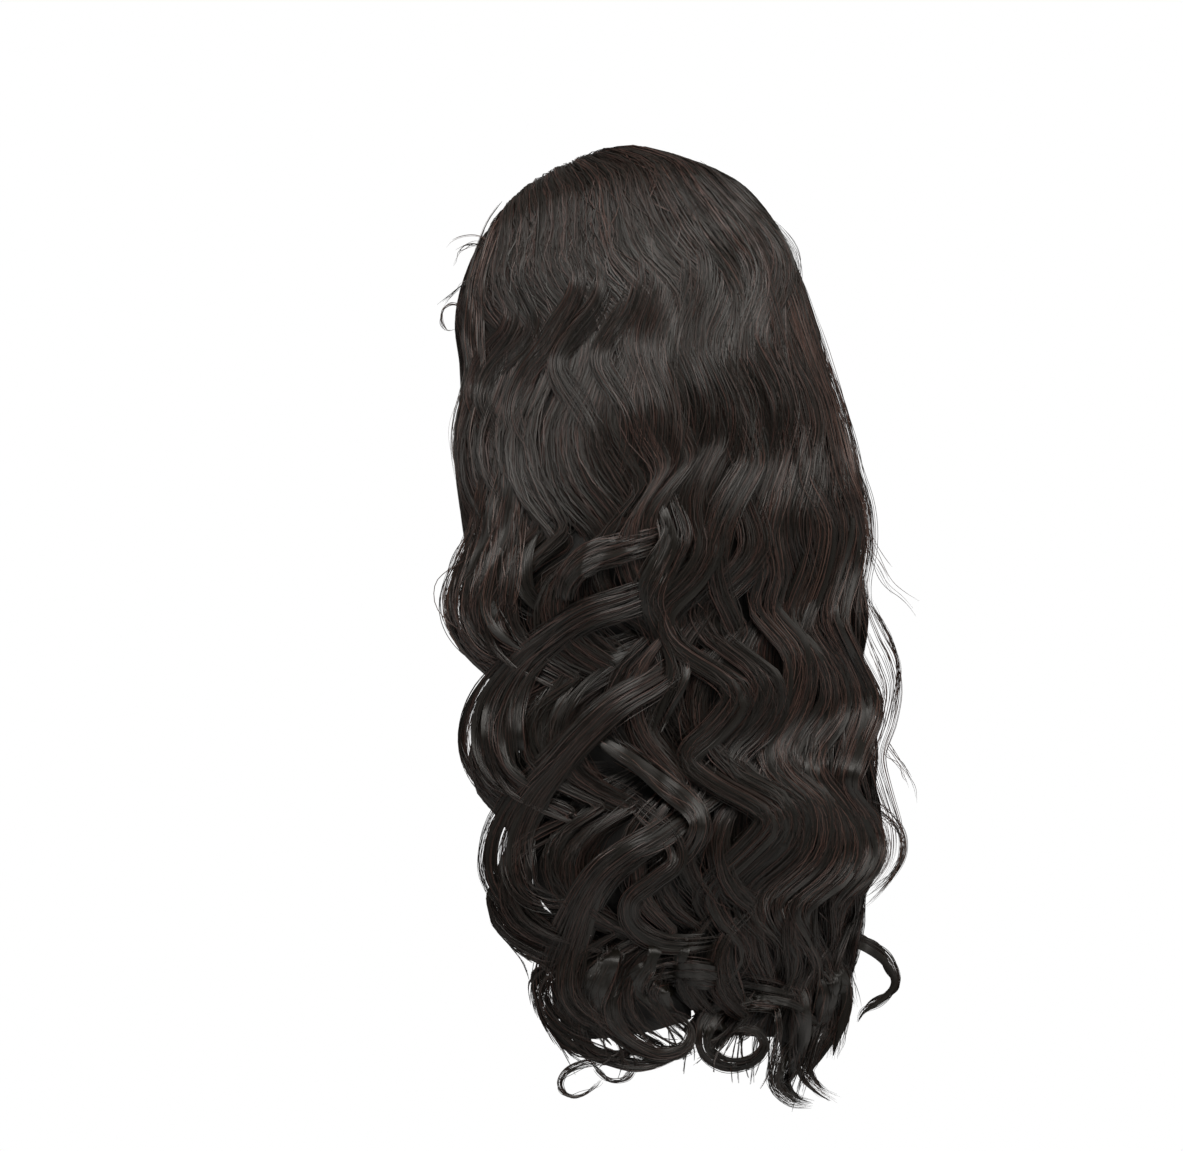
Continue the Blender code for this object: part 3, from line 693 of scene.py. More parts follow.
def hair_point(place, station, out, shift=0.0, strength=1.0, fine=0.0):
    """A point of the waved hair in the part's frame."""
    share = np.clip(station, 0.0, 1.0)
    drop = np.clip(station - 1.0, 0.0, None)
    turn = wave_turn(place, station) + shift
    delay = WAVE_DELAY * eased(-place, start=-0.1, over=0.4)
    grown = np.clip((drop - delay) / WAVE_GROWTH, 0.0, 1.0)
    more_sway = WAVE_SWAY * share_at("sway", place) - HEAD_SWAY
    more_swell = WAVE_SWELL * share_at("swell", place) - HEAD_SWELL
    sway = strength * (HEAD_SWAY * eased(share, start=0.0, over=0.8) + more_sway * grown)
    swell = strength * (HEAD_SWELL * share + more_swell * grown)
    sideways = sway * (-np.cos(turn) - CUSP_SHARPNESS * place * np.cos(2.0 * turn))
    lift = swell * (0.5 - 0.5 * np.cos(turn))
    length = head_arc(place) * HEAD_TOP * share + drop * FALL_LENGTH
    ripple = 2.0 * np.pi * length / FINE_LENGTH + FINE_TURN * place
    calm = FINE_CALM * eased(drop, start=0.0, over=0.35)
    fade = fine * eased(share, start=0.0, over=0.5) * (1.0 - calm)
    sideways = sideways + FINE_SWAY * fade * np.sin(ripple)
    lift = lift + FINE_SWELL * fade * (1.0 + np.cos(ripple))
    moved = place + sideways / place_width(place, station)
    points = clear_of_cap(flat_point(moved, station, out, lift))
    points[..., 2] += CUSP_RISE * grown * strength * np.sin(turn) - HEAD_TOP
    return inside_outline(points)


def row_stations(start, end):
    """Stations along hairs that start and end at stations of their own."""
    share = np.linspace(0.0, 1.0, FINE_ROWS)[None, :]
    return start[:, None] + (1.0 + end[:, None] - start[:, None]) * share


def between_rows(values, index, low, part):
    """Values between neighbouring rows, by the share of the way to the second."""
    share = part[..., None] if values.ndim == 3 else part
    return values[index, low] * (1.0 - share) + values[index, low + 1] * share


def even_out(values, share):
    """Draws each row towards the middle of its neighbours, by a share of the way."""
    values[:, 1:-1] += share * (0.5 * (values[:, 2:] + values[:, :-2]) - values[:, 1:-1])


def waver(along, rates, count, random):
    """A sine along each row, with a rate and a phase of its own."""
    rate = random.uniform(*rates, count)[:, None]
    phase = random.uniform(0.0, 2.0 * np.pi, count)[:, None]
    return np.sin(2.0 * np.pi * along * rate + phase)


def width_along(kind, share):
    """Share of its full width that a kind of hair has along its run."""
    return np.interp(share, PROFILES[kind]["share"], PROFILES[kind]["width"])


def rows_where_it_bends(points, others, count):
    """Rows resampled so that they lie closest where a strand bends most."""
    steps = np.diff(points, axis=1)
    lengths = np.maximum(np.linalg.norm(steps, axis=-1), 1e-7)
    heading = steps / lengths[..., None]
    bend = np.arccos(np.clip(np.sum(heading[:, 1:] * heading[:, :-1], axis=-1), -1.0, 1.0))
    bend = np.pad(bend, ((0, 0), (1, 0)), mode="edge")
    cost = lengths / STRAIGHT_STEP + bend / BEND_STEP
    travelled = np.pad(np.cumsum(cost, axis=1), ((0, 0), (1, 0)))
    wanted = travelled[:, -1:] * np.linspace(0.0, 1.0, count)[None, :]
    old = np.arange(points.shape[1])
    row = np.stack([np.interp(want, have, old) for want, have in zip(wanted, travelled)])
    low = np.minimum(row.astype(int), points.shape[1] - 2)
    index = np.arange(len(points))[:, None]
    return [between_rows(values, index, low, row - low) for values in (points, *others)]


def ribbon_mesh(name, points, outward, widths, twist, tone, columns, crown):
    """A mesh of ribbons along rows of points, with maps for its run and its tone."""
    count, length = points.shape[:2]
    along = unit(np.gradient(points, axis=1))
    outward = unit(outward - along * np.sum(outward * along, axis=-1, keepdims=True))
    across = np.cross(along, outward)
    side = across * np.cos(twist)[..., None] + outward * np.sin(twist)[..., None]
    face = outward * np.cos(twist)[..., None] - across * np.sin(twist)[..., None]
    spots = np.linspace(-1.0, 1.0, columns)
    half = 0.5 * widths[..., None]
    corners = [points + half * (spot * side + crown * (1.0 - spot * spot) * face) for spot in spots]
    corners = np.stack(corners, axis=2)
    travelled = np.cumsum(np.linalg.norm(np.diff(points, axis=1), axis=-1), axis=1)
    travelled = np.pad(travelled, ((0, 0), (1, 0)))
    run = np.zeros((count, length, columns, 2))
    run[..., 0] = (np.arange(count) * RUN_STEP % 1.0)[:, None, None] * RUN_SPREAD
    run[..., 0] += 0.5 * widths[..., None] * spots
    run[..., 1] = travelled[..., None]
    shade = np.zeros((count, length, columns, 2))
    shade[..., 0] = tone[:, None, None]
    shade[..., 1] = np.linspace(0.0, 1.0, length)[None, :, None]
    first = np.arange(count)[:, None, None] * (length * columns)
    first = first + np.arange(length - 1)[None, :, None] * columns
    first = (first + np.arange(columns - 1)[None, None, :]).reshape(-1)
    faces = np.stack((first, first + 1, first + columns + 1, first + columns), axis=1)
    return mesh_from(name, corners.reshape(-1, 3), faces,
                     {"run": run.reshape(-1, 2), "tone": shade.reshape(-1, 2)})


def mesh_from(name, corners, faces, maps):
    """A smooth mesh of four-sided faces with its maps, given at the corners."""
    mesh = bpy.data.meshes.new(name)
    mesh.vertices.add(len(corners))
    mesh.vertices.foreach_set("co", corners.astype(np.float32).reshape(-1))
    mesh.loops.add(4 * len(faces))
    mesh.loops.foreach_set("vertex_index", faces.astype(np.int32).reshape(-1))
    mesh.polygons.add(len(faces))
    mesh.polygons.foreach_set("loop_start", np.arange(0, 4 * len(faces), 4, dtype=np.int32))
    mesh.polygons.foreach_set("use_smooth", np.ones(len(faces), dtype=bool))
    mesh.update(calc_edges=True)
    for title, values in maps.items():
        layer = mesh.uv_layers.new(name=title)
        layer.data.foreach_set("uv", values[faces.reshape(-1)].astype(np.float32).reshape(-1))
    return mesh


def curled_ends(points, outward, free_length, radius, sign, tilt):
    """Turns the last stretch of each row into an open curl that tightens to its end."""
    steps = np.linalg.norm(np.diff(points, axis=1), axis=-1)
    left = np.cumsum(steps[:, ::-1], axis=1)[:, ::-1]
    heading = unit(np.gradient(points, axis=1))
    curled = points.copy()
    current = heading[:, 0].copy()
    axis = unit(outward[:, -1] + tilt[:, None] * np.array((0.0, 0.0, 1.0)))
    for row in range(1, points.shape[1]):
        free = left[:, row - 1] < free_length
        share = np.clip(1.0 - left[:, row - 1] / free_length, 0.0, 1.0)
        turn = sign * steps[:, row - 1] * share / radius
        flat = current * np.cos(turn)[:, None] + np.cross(axis, current) * np.sin(turn)[:, None]
        current = np.where(free[:, None], unit(flat), heading[:, row - 1])
        grown = curled[:, row - 1] + current * steps[:, row - 1][:, None]
        curled[:, row] = np.where(free[:, None], grown, points[:, row])
    return curled


def clump_table(section, random):
    """The clumps of a section: where they lie, how they wave and how they end."""
    low, high = section["reach"]
    count = section["clumps"]
    edges = np.sort(random.uniform(0.0, 1.0, LOCKS_PER_SECTION - 1))
    edges = 0.5 * edges + 0.5 * np.arange(1, LOCKS_PER_SECTION) / LOCKS_PER_SECTION
    share = (np.arange(count) + random.uniform(0.0, 1.0, count)) / count
    lock = np.searchsorted(edges, share)
    bounds = np.concatenate(((0.0,), edges, (1.0,)))
    centre = 0.5 * (bounds[1:] + bounds[:-1])[lock]
    span = (bounds[1:] - bounds[:-1])[lock]
    ends = np.interp(share, (np.arange(3) + 0.5) / 3.0, section["ends"])
    per_lock = {
        "shift": random.normal(0.0, section["loose"], LOCKS_PER_SECTION),
        "level": random.uniform(*SECTION_LOCK["level"], LOCKS_PER_SECTION),
        "wander": random.uniform(*SECTION_LOCK["wander"], LOCKS_PER_SECTION) * MM,
        "rate": random.uniform(*SECTION_LOCK["rate"], LOCKS_PER_SECTION),
        "phase": random.uniform(0.0, 2.0 * np.pi, LOCKS_PER_SECTION),
        "strength": random.uniform(*SECTION_LOCK["strength"], LOCKS_PER_SECTION),
        "end": random.normal(0.0, SECTION_LOCK["end"], LOCKS_PER_SECTION),
    }
    table = {title: values[lock] for title, values in per_lock.items()}
    table["place"] = low + (high - low) * share
    table["centre"] = low + (high - low) * centre
    table["edge"] = np.abs(share - centre) / (0.5 * span)
    table["span"] = (high - low) / count
    table["out"] = random.uniform(*CLUMP["out"], count)
    table["shift"] = table["shift"] + random.normal(0.0, CLUMP["shift"], count)
    table["end"] = ends + table["end"] + random.normal(0.0, CLUMP["end"], count)
    table["curl_length"] = random.uniform(*CLUMP["curl_length"], count) * MM
    table["curl_radius"] = random.uniform(*CLUMP["curl_radius"], count) * MM
    forward = random.uniform(0.0, 1.0, count) < CLUMP["curl_forward"]
    table["curl_sign"] = np.where(forward, 1.0, -1.0)
    table["curl_tilt"] = random.normal(0.0, CLUMP["curl_tilt"], count)
    return table


def combed_rows(table, chosen, place, out, start, end, gather, stray, random):
    """Rows of points and outward directions of hairs that belong to chosen clumps."""
    def of_clump(title):
        return table[title][chosen][:, None]
    stations = row_stations(start, end)
    drop = np.clip(stations - 1.0, 0.0, None)
    width = place_width(of_clump("place"), stations)
    offset = place[:, None] - of_clump("place")
    gathered = offset * (1.0 - gather * eased(drop, start=0.0, over=0.9))
    toward = (of_clump("centre") - of_clump("place")) * LOCK_PULL * eased(drop, start=0.1, over=0.5)
    wander = of_clump("wander") * eased(drop, start=0.0, over=0.4)
    wander = wander * np.sin(2.0 * np.pi * of_clump("rate") * drop + of_clump("phase"))
    strays = stray[:, None] * eased(stations, start=0.0, over=0.7)
    strays = strays * waver(stations, STRAY_RATES, len(place), random)
    moving = of_clump("place") + gathered + toward + (wander + strays) / width
    moving = np.clip(moving, -PLACE_LIMIT, PLACE_LIMIT)
    groove = 1.0 - LOCK_GROOVE * of_clump("edge") ** 2 * eased(stations, start=0.6, over=0.7)
    level = of_clump("level") * eased(drop, start=0.0, over=0.3)
    rise = eased(stations, start=start[:, None], over=0.3)
    low_crown = 1.0 - eased(stations, start=0.9, over=0.3)
    left_press = PRESS_LEFT * eased(moving, start=0.35, over=0.3)
    right_press = PRESS_RIGHT * eased(-moving, start=-0.1, over=0.3)
    pressed = 1.0 - low_crown * (left_press + right_press)
    layers = np.clip(out[:, None] * groove + level, *LAYER_LIMITS) * rise * pressed
    drift = sum(amount * np.sin(turn * moving + fall * drop + phase)
                for amount, turn, fall, phase in zip(*DRIFT.values()))
    calm = 1.0 - DRIFT_CALM * eased(moving, start=0.45, over=0.3)
    shift = (of_clump("shift") + drift * calm) * eased(stations, start=0.7, over=0.6)
    strength = 1.0 + (of_clump("strength") - 1.0) * eased(drop, start=0.0, over=0.2)
    points = hair_point(moving, stations, layers, shift, strength, 1.0)
    above = hair_point(moving, stations, layers + OUTWARD_STEP, shift, strength, 1.0)
    outward = unit(above - points)
    seam = np.exp(-(((stations - 1.0) / SEAM_REACH) ** 2))[:, 1:-1, None]
    for _ in range(SEAM_PASSES):
        even_out(points, SEAM_SHARE * seam)
    return points, outward


def guide_rows(table, random):
    """The middle of each clump, as it hangs and with its end curled."""
    clumps = np.arange(len(table["place"]))
    start = first_station(table["place"])
    still = np.zeros(len(clumps))
    points, outward = combed_rows(table, clumps, table["place"], table["out"], start, table["end"],
                                  0.0, still, random)
    curled = curled_ends(points, outward, table["curl_length"], table["curl_radius"],
                         table["curl_sign"], table["curl_tilt"])
    return {"start": start, "plain": points, "curled": curled}


def follow_guides(points, table, guides, chosen, start, end):
    """Draws hairs together into the curled ends of their clumps."""
    stations = row_stations(start, end)
    clump_end = 1.0 + table["end"][chosen][:, None]
    first = guides["start"][chosen][:, None]
    row = (stations - first) / (clump_end - first) * (FINE_ROWS - 1)
    row = np.clip(row, 0.0, FINE_ROWS - END_MARGIN)
    low = row.astype(int)
    plain, curled = (between_rows(guides[title], chosen[:, None], low, row - low)
                     for title in ("plain", "curled"))
    length = table["curl_length"][chosen][:, None] / FALL_LENGTH
    pull = smooth((stations - (clump_end - CURL_PULL_LENGTHS * length)) / length)[..., None]
    drawn = curled * pull + plain * (1.0 - pull) + (points - plain) * (1.0 - CURL_PULL * pull)
    return inside_outline(drawn)


def first_station(place):
    """Share of the arc over the head at which hair starts beside the parting."""
    along = np.clip((np.abs(place) - PARTING_REACH) / (1.0 - PARTING_REACH), 0.0, 1.0)
    return (ROOT_START - ROOT_START_LESS * along) * MM / (HEAD_TOP * head_arc(place))


def section_strands(section, table, guides, random):
    """The loose strands of a section as a mesh's rows."""
    low, high = section["reach"]
    count = section["strands"]
    chosen = random.integers(0, section["clumps"], count)
    place = table["place"][chosen] + random.normal(0.0, STRAND["scatter"], count) * table["span"]
    place = np.clip(place, low - STRAND["past_edge"], high + STRAND["past_edge"])
    above = np.abs(random.normal(0.0, STRAND["above_spread"], count))
    out = table["out"][chosen] + above + STRAND["above"]
    start = first_station(place) * random.uniform(*STRAND["first"], count)
    late = random.uniform(0.0, 1.0, count) < STRAND["late_share"]
    start = np.where(late, random.uniform(*STRAND["late_start"], count), start)
    short = STRAND["short_end"] * random.uniform(0.0, 1.0, count) ** 2
    end = table["end"][chosen] * (1.0 - short)
    stray = random.normal(0.0, 1.0, count) * STRAND["stray"] * MM
    wild = random.uniform(0.0, 1.0, count) < STRAND["wild_share"]
    stray = np.where(wild, stray * STRAND["wild_more"], stray)
    points, outward = combed_rows(table, chosen, place, out, start, end, STRAND["gather"], stray, random)
    points = follow_guides(points, table, guides, chosen, start, end)
    share = np.linspace(0.0, 1.0, FINE_ROWS)[None, :]
    widths = random.uniform(*STRAND["width"], count)[:, None] * MM * width_along("strand", share)
    twist = random.uniform(-STRAND["twist"], STRAND["twist"], count)[:, None]
    twist = twist + STRAND["twist_sway"] * waver(share, STRAND["twist_rate"], count, random)
    tone = STRAND["clump_tone"] * random.uniform(0.0, 1.0, section["clumps"])[chosen]
    tone = tone + (1.0 - STRAND["clump_tone"]) * random.uniform(0.0, 1.0, count)
    rows = rows_where_it_bends(points, (outward, widths, twist), STRAND_ROWS)
    return *rows, tone


def section_locks(section, table, guides, random):
    """The broad flat locks of a section as a mesh's rows, with one deep lock to a clump."""
    low, high = section["reach"]
    chosen = np.tile(np.arange(section["clumps"]), LOCK["per_clump"])
    count = len(chosen)
    place = table["place"][chosen]
    place = place + random.uniform(-LOCK["scatter"], LOCK["scatter"], count) * table["span"]
    place = np.clip(place, low + LOCK["inset"], high - LOCK["inset"])
    out = table["out"][chosen] - random.uniform(0.0, LOCK["below"], count)
    out[: section["clumps"]] = random.uniform(*LOCK["deep"], section["clumps"])
    start = first_station(place)
    end = table["end"][chosen] - random.uniform(0.0, LOCK["short_end"], count)
    still = np.zeros(count)
    points, outward = combed_rows(table, chosen, place, out, start, end, LOCK["gather"], still, random)
    points = follow_guides(points, table, guides, chosen, start, end)
    share = np.linspace(0.0, 1.0, FINE_ROWS)[None, :]
    stations = share * (1.0 + end - start)[:, None] + start[:, None]
    broad = place_width(place[:, None], stations) * table["span"] * LOCK["breadth"]
    widths = broad * width_along("lock", share)
    twist = LOCK["twist"] * waver(share, LOCK["twist_rate"], count, random)
    twist = twist * eased(share, start=0.0, over=0.4)
    tone = random.uniform(0.0, LOCK["tone"], count)
    rows = rows_where_it_bends(points, (outward, widths, twist), LOCK_ROWS)
    return *rows, tone


def through(values, count):
    """Values along a smooth curve through a few chosen ones."""
    values = np.asarray(values, dtype=float)
    padded = np.concatenate((2.0 * values[:1] - values[1:2], values, 2.0 * values[-1:] - values[-2:-1]))
    along = np.linspace(0.0, len(values) - 1.0, count)
    first = np.minimum(along.astype(int), len(values) - 2)
    part = along - first
    before, here, after, beyond = (padded[first + step] for step in range(4))
    return 0.5 * (2.0 * here + (after - before) * part
                  + (2.0 * before - 5.0 * here + 4.0 * after - beyond) * part ** 2
                  + (3.0 * here - before - 3.0 * after + beyond) * part ** 3)


def sight_lines(x, y):
    """The eye and the directions in which it sees points of the picture."""
    eye, middle = camera_places()
    forward = (middle - eye).normalized()
    right = forward.cross(Vector((0.0, 0.0, 1.0))).normalized()
    up = right.cross(forward)
    across = (np.asarray(x) - PICTURE[0] / 2.0) / PIXELS_PER_METRE
    rise = (PICTURE[1] / 2.0 - np.asarray(y)) / PIXELS_PER_METRE
    seen = (np.array(middle - eye) + across[..., None] * np.array(right) + rise[..., None] * np.array(up))
    return np.array(eye), unit(seen)


def hair_surface():
    """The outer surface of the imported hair, to lay locks on."""
    corners = []
    faces = []
    for obj in bpy.data.objects:
        if obj.type == "MESH" and obj.name.startswith("hair_"):
            first = len(corners)
            corners += [tuple(corner.co) for corner in obj.data.vertices]
            faces += [tuple(first + index for index in face.vertices) for face in obj.data.polygons]
    return BVHTree.FromPolygons(corners, faces)


def laid_on(surface, x, y, lift):
    """Points of the picture laid on the hair, and the ways out of it.

    Past the edge of the hair they keep the depth that they have there.
    """
    eye, ways = sight_lines(x, y)
    rows, length = x.shape
    depth = np.full((rows, length), np.nan)
    normal = -ways.copy()
    start = Vector(eye)
    for row in range(rows):
        for place in range(length):
            spot, out, _, distance = surface.ray_cast(start, Vector(ways[row, place]))
            if spot is not None:
                depth[row, place] = distance
                normal[row, place] = out
    index = np.arange(length)
    for row in range(rows):
        found = np.isfinite(depth[row])
        if found.any():
            depth[row] = np.interp(index, index[found], depth[row][found])
        else:
            depth[row] = np.nanmean(depth) if np.isfinite(depth).any() else CAMERA_DISTANCE
    for _ in range(LAY_PASSES):
        even_out(depth, 0.5)
        even_out(normal, 0.5)
    points = eye + ways * (depth - lift)[..., None]
    return points, unit(unit(normal) - COMB["toward_eye"] * ways)


def lock_half(lock):
    """Half width of a combed lock along its path, in the picture's pixels."""
    return np.maximum(through(lock["half"], LAID_ROWS), COMB["least_half"])


def combed_lock(surface, lock, count, spread, random):
    """Hairs of one combed lock, side by side along its path and crowned over its middle."""
    share = np.linspace(0.0, 1.0, LAID_ROWS)
    x = through(lock["x"], LAID_ROWS)
    y = through(lock["y"], LAID_ROWS)
    half = lock_half(lock)
    heading = unit(np.stack((np.gradient(x), np.gradient(y)), axis=-1))
    side = random.uniform(-1.0, 1.0, count)
    side = spread * np.sign(side) * np.abs(side) ** COMB["side_power"]
    amount = np.clip(random.normal(0.0, 1.0, count), -2.0, 2.0) * lock["loose"]
    amount = np.where(random.uniform(0.0, 1.0, count) < FRIZZ_SHARE, amount * FRIZZ_MORE, amount)
    sway = amount[:, None] * waver(share, COMB["sway_rate"], count, random)
    offset = side[:, None] * half + sway * (COMB["sway"] + COMB["sway_by_width"] * half)
    if lock["level"]:
        slip = random.normal(0.0, COMB["slip"], count)[:, None] - COMB["slip_by_offset"] * offset
        x = x - offset
        y = y + slip * np.sin(np.pi * share)
    else:
        x = x + offset * -heading[:, 1]
        y = y + offset * heading[:, 0]
    first = random.uniform(0.0, 1.0, count)[:, None] * lock["ends"][0]
    last = 1.0 - random.uniform(0.0, 1.0, count)[:, None] * lock["ends"][1]
    kept = first + (last - first) * share
    index = kept * (LAID_ROWS - END_MARGIN)
    low = index.astype(int)
    rows = np.arange(count)[:, None]
    x = between_rows(x, rows, low, index - low)
    y = between_rows(y, rows, low, index - low)
    crown = lock["crown"] * MM * (1.0 - (side[:, None] / max(spread, 1e-6)) ** 2)
    root, tip = lock["sunk"]
    dive = root * (1.0 - eased(kept, start=first, over=0.2)) + tip * (1.0 - smooth((last - kept) / 0.2))
    raised = eased(kept, start=0.0, over=0.35) if root > 0.0 else 1.0
    uneven = random.uniform(-COMB["uneven"], COMB["uneven"], count)[:, None] * MM
    lift = (lock["lift"] * MM + crown) * raised + uneven
    return laid_on(surface, x, y, lift - COMB["dive"] * MM * dive)


def upper_waves():
    """The fine parallel waves behind the head, lock by lock from the left to the right."""
    waves = {}
    for number in range(UPPER_WAVE_LOCKS):
        base = UPPER_WAVE_START + number * UPPER_WAVE_STEP
        early = UPPER_WAVE_EARLY * math.sin(UPPER_WAVE_EARLY_TURN * number)
        strong = UPPER_WAVE_SHARE + UPPER_WAVE_SHARE_STEP * number
        waves["upper_%d" % (number + 1)] = {
            "level": True, "strands": 58, "crown": 1.0, "loose": 1.3,
            "x": tuple(base + strong * shift for shift in UPPER_WAVE["shift"]),
            "y": tuple(down + early for down in UPPER_WAVE["y"]),
            "half": (10, 14, 16) + (17,) * (len(UPPER_WAVE["y"]) - 3)}
    return waves


def combed_strands(surface, lock, random):
    """The fine strands of a combed lock as a mesh's rows."""
    count = int(STRANDS_MORE * lock["strands"])
    points, outward = combed_lock(surface, lock, count, COMB["strand_spread"], random)
    share = np.linspace(0.0, 1.0, LAID_ROWS)[None, :]
    widths = random.uniform(*COMB["strand_width"], count)[:, None] * MM * width_along("combed", share)
    twist = random.uniform(-COMB["strand_twist"], COMB["strand_twist"], count)[:, None]
    tone = lock["tone"] + random.uniform(-COMB["tone_spread"], COMB["tone_spread"], count)
    return points, outward, widths, twist * np.ones(LAID_ROWS), np.clip(tone, 0.0, 1.0)


def combed_ribbons(surface, lock, random):
    """The flat ribbons below the strands of a combed lock as a mesh's rows, kept to dark tones as painted
    shade between the strands.
    """
    count = lock["ribbons"]
    below = {**lock, "lift": lock["lift"] - COMB["ribbon_depth"]}
    points, outward = combed_lock(surface, below, count, COMB["ribbon_spread"], random)
    share = np.linspace(0.0, 1.0, LAID_ROWS)[None, :]
    half = lock_half(lock) / PIXELS_PER_METRE
    widths = 2.0 * COMB["ribbon_lap"] * half[None, :] / count * np.ones((count, 1))
    twist = random.uniform(-COMB["ribbon_twist"], COMB["ribbon_twist"], count)[:, None]
    # Dark tones only: painted shade showing between the strands above
    tone = COMB["ribbon_shade_tone"] * random.uniform(0.0, 1.0, count)
    return points, outward, widths * width_along("ribbon", share), twist * np.ones(LAID_ROWS), tone


def combed_pieces(strand_look, lock_look):
    """The combed locks: fine strands over flat ribbons."""
    random = np.random.default_rng(COMBED_SEED)
    surface = hair_surface()
    pieces = {"combed_upper": [], "combed_left": [], "combed_right": [], "combed_locks": []}
    for given in (*upper_waves().values(), *COMBED.values()):
        lock = {**LOCK_DEFAULTS, **given}
        name = "combed_left" if sum(lock["x"]) / len(lock["x"]) < MIDDLE_COLUMN else "combed_right"
        if max(lock["y"]) < UPPER_ROWS:
            name = "combed_upper"
        pieces[name].append(combed_strands(surface, lock, random))
        if lock["ribbons"]:
            pieces["combed_locks"].append(combed_ribbons(surface, lock, random))
    for name, parts in pieces.items():
        rows = [np.concatenate(values) for values in zip(*parts)]
        flat = name == "combed_locks"
        add_hair(name, rows, LOCK_SHAPE if flat else STRAND_SHAPE, lock_look if flat else strand_look)


def new_material(name, roughness, colour=None):
    """A new material with its nodes, its links and its shader."""
    material = bpy.data.materials.new(name)
    material.use_nodes = True
    tree = material.node_tree
    shader = tree.nodes["Principled BSDF"]
    shader.inputs["Roughness"].default_value = roughness
    if colour:
        shader.inputs["Base Color"].default_value = (*colour, 1.0)
    return material, tree.nodes, tree.links, shader


def colour_ramp(nodes, stops):
    """A ramp through stops of a position and a colour."""
    ramp = nodes.new("ShaderNodeValToRGB")
    elements = ramp.color_ramp.elements
    while len(elements) < len(stops):
        elements.new(0.5)
    for element, (position, colour) in zip(elements, stops):
        element.position = position
        element.color = (*colour, 1.0)
    return ramp


def add_relief(nodes, links, shader, height, strength, depth):
    """Relief from a height that a node gives; returns its bump node."""
    bump = nodes.new("ShaderNodeBump")
    bump.inputs["Strength"].default_value = strength
    bump.inputs["Distance"].default_value = depth
    links.new(height, bump.inputs["Height"])
    links.new(bump.outputs["Normal"], shader.inputs["Normal"])
    return bump


def streaks(nodes, links, scale, detail):
    """Streaks along the run of the hair."""
    run = nodes.new("ShaderNodeUVMap")
    run.uv_map = "run"
    stretch = nodes.new("ShaderNodeMapping")
    stretch.inputs["Scale"].default_value = scale
    links.new(run.outputs["UV"], stretch.inputs["Vector"])
    noise = nodes.new("ShaderNodeTexNoise")
    noise.inputs["Scale"].default_value = 1.0
    noise.inputs["Detail"].default_value = detail
    links.new(stretch.outputs["Vector"], noise.inputs["Vector"])
    return noise.outputs["Fac"]


def hair_material(name="off_black_hair"):
    """Off-black hair with a few reddish brown strands and a long highlight across it."""
    material, nodes, links, shader = new_material(name, roughness=0.45)
    tone_map = nodes.new("ShaderNodeUVMap")
    tone_map.uv_map = "tone"
    parts = nodes.new("ShaderNodeSeparateXYZ")
    links.new(tone_map.outputs["UV"], parts.inputs["Vector"])
    ramp = colour_ramp(nodes, HAIR_COLOURS)
    links.new(parts.outputs["X"], ramp.inputs["Fac"])
    links.new(ramp.outputs["Color"], shader.inputs["Base Color"])
    tangent = nodes.new("ShaderNodeTangent")
    tangent.direction_type = "UV_MAP"
    tangent.uv_map = "run"
    links.new(tangent.outputs["Tangent"], shader.inputs["Tangent"])
    shader.inputs["Anisotropic"].default_value = 0.9
    shader.inputs["IOR"].default_value = 1.55
    return material


def lock_material():
    """Off-black hair on the flat locks, with fine streaks along their run."""
    material = hair_material("off_black_locks")
    nodes = material.node_tree.nodes
    links = material.node_tree.links
    height = streaks(nodes, links, scale=(1400.0, 12.0, 1.0), detail=2.0)
    add_relief(nodes, links, nodes["Principled BSDF"], height, strength=0.7, depth=0.5 * MM)
    return material


def under_material():
    """Hair below the loose strands, streaked along its run and painted darker than any strand: painted
    shade of the depths of the hair.
    """
    material, nodes, links, shader = new_material("under_hair", roughness=0.6)
    height = streaks(nodes, links, scale=(220.0, 3.0, 1.0), detail=3.0)
    ramp = colour_ramp(nodes, UNDER_SHADE_COLOURS)
    links.new(height, ramp.inputs["Fac"])
    links.new(ramp.outputs["Color"], shader.inputs["Base Color"])
    add_relief(nodes, links, shader, height, strength=0.6, depth=0.6 * MM)
    return material


def mesh_cloth(name, hole, thread, size, roughness):
    """Net of fine round holes: dark holes in threads of a lighter colour, raised between them."""
    material, nodes, links, shader = new_material(name, roughness, hole)
    place = nodes.new("ShaderNodeTexCoord")
    cells = nodes.new("ShaderNodeTexVoronoi")
    cells.feature = "DISTANCE_TO_EDGE"
    cells.inputs["Scale"].default_value = 1.0 / size
    cells.inputs["Randomness"].default_value = 0.25
    links.new(place.outputs["Object"], cells.inputs["Vector"])
    ramp = colour_ramp(nodes, ((0.10, thread), (0.22, hole)))
    links.new(cells.outputs["Distance"], ramp.inputs["Fac"])
    links.new(ramp.outputs["Color"], shader.inputs["Base Color"])
    bump = add_relief(nodes, links, shader, cells.outputs["Distance"], strength=0.8, depth=0.3 * MM)
    bump.invert = True
    return material


def elastic_material():
    """Black woven elastic with raised ribs across it."""
    material, nodes, links, shader = new_material("woven_elastic", 0.8, (0.018, 0.016, 0.015))
    place = nodes.new("ShaderNodeTexCoord")
    ribs = nodes.new("ShaderNodeTexWave")
    ribs.bands_direction = "Z"
    ribs.inputs["Scale"].default_value = 320.0
    ribs.inputs["Distortion"].default_value = 1.2
    ribs.inputs["Detail"].default_value = 2.0
    links.new(place.outputs["Object"], ribs.inputs["Vector"])
    ramp = colour_ramp(nodes, ELASTIC_COLOURS)
    links.new(ribs.outputs["Fac"], ramp.inputs["Fac"])
    links.new(ramp.outputs["Color"], shader.inputs["Base Color"])
    add_relief(nodes, links, shader, ribs.outputs["Fac"], strength=0.6, depth=0.4 * MM)
    return material


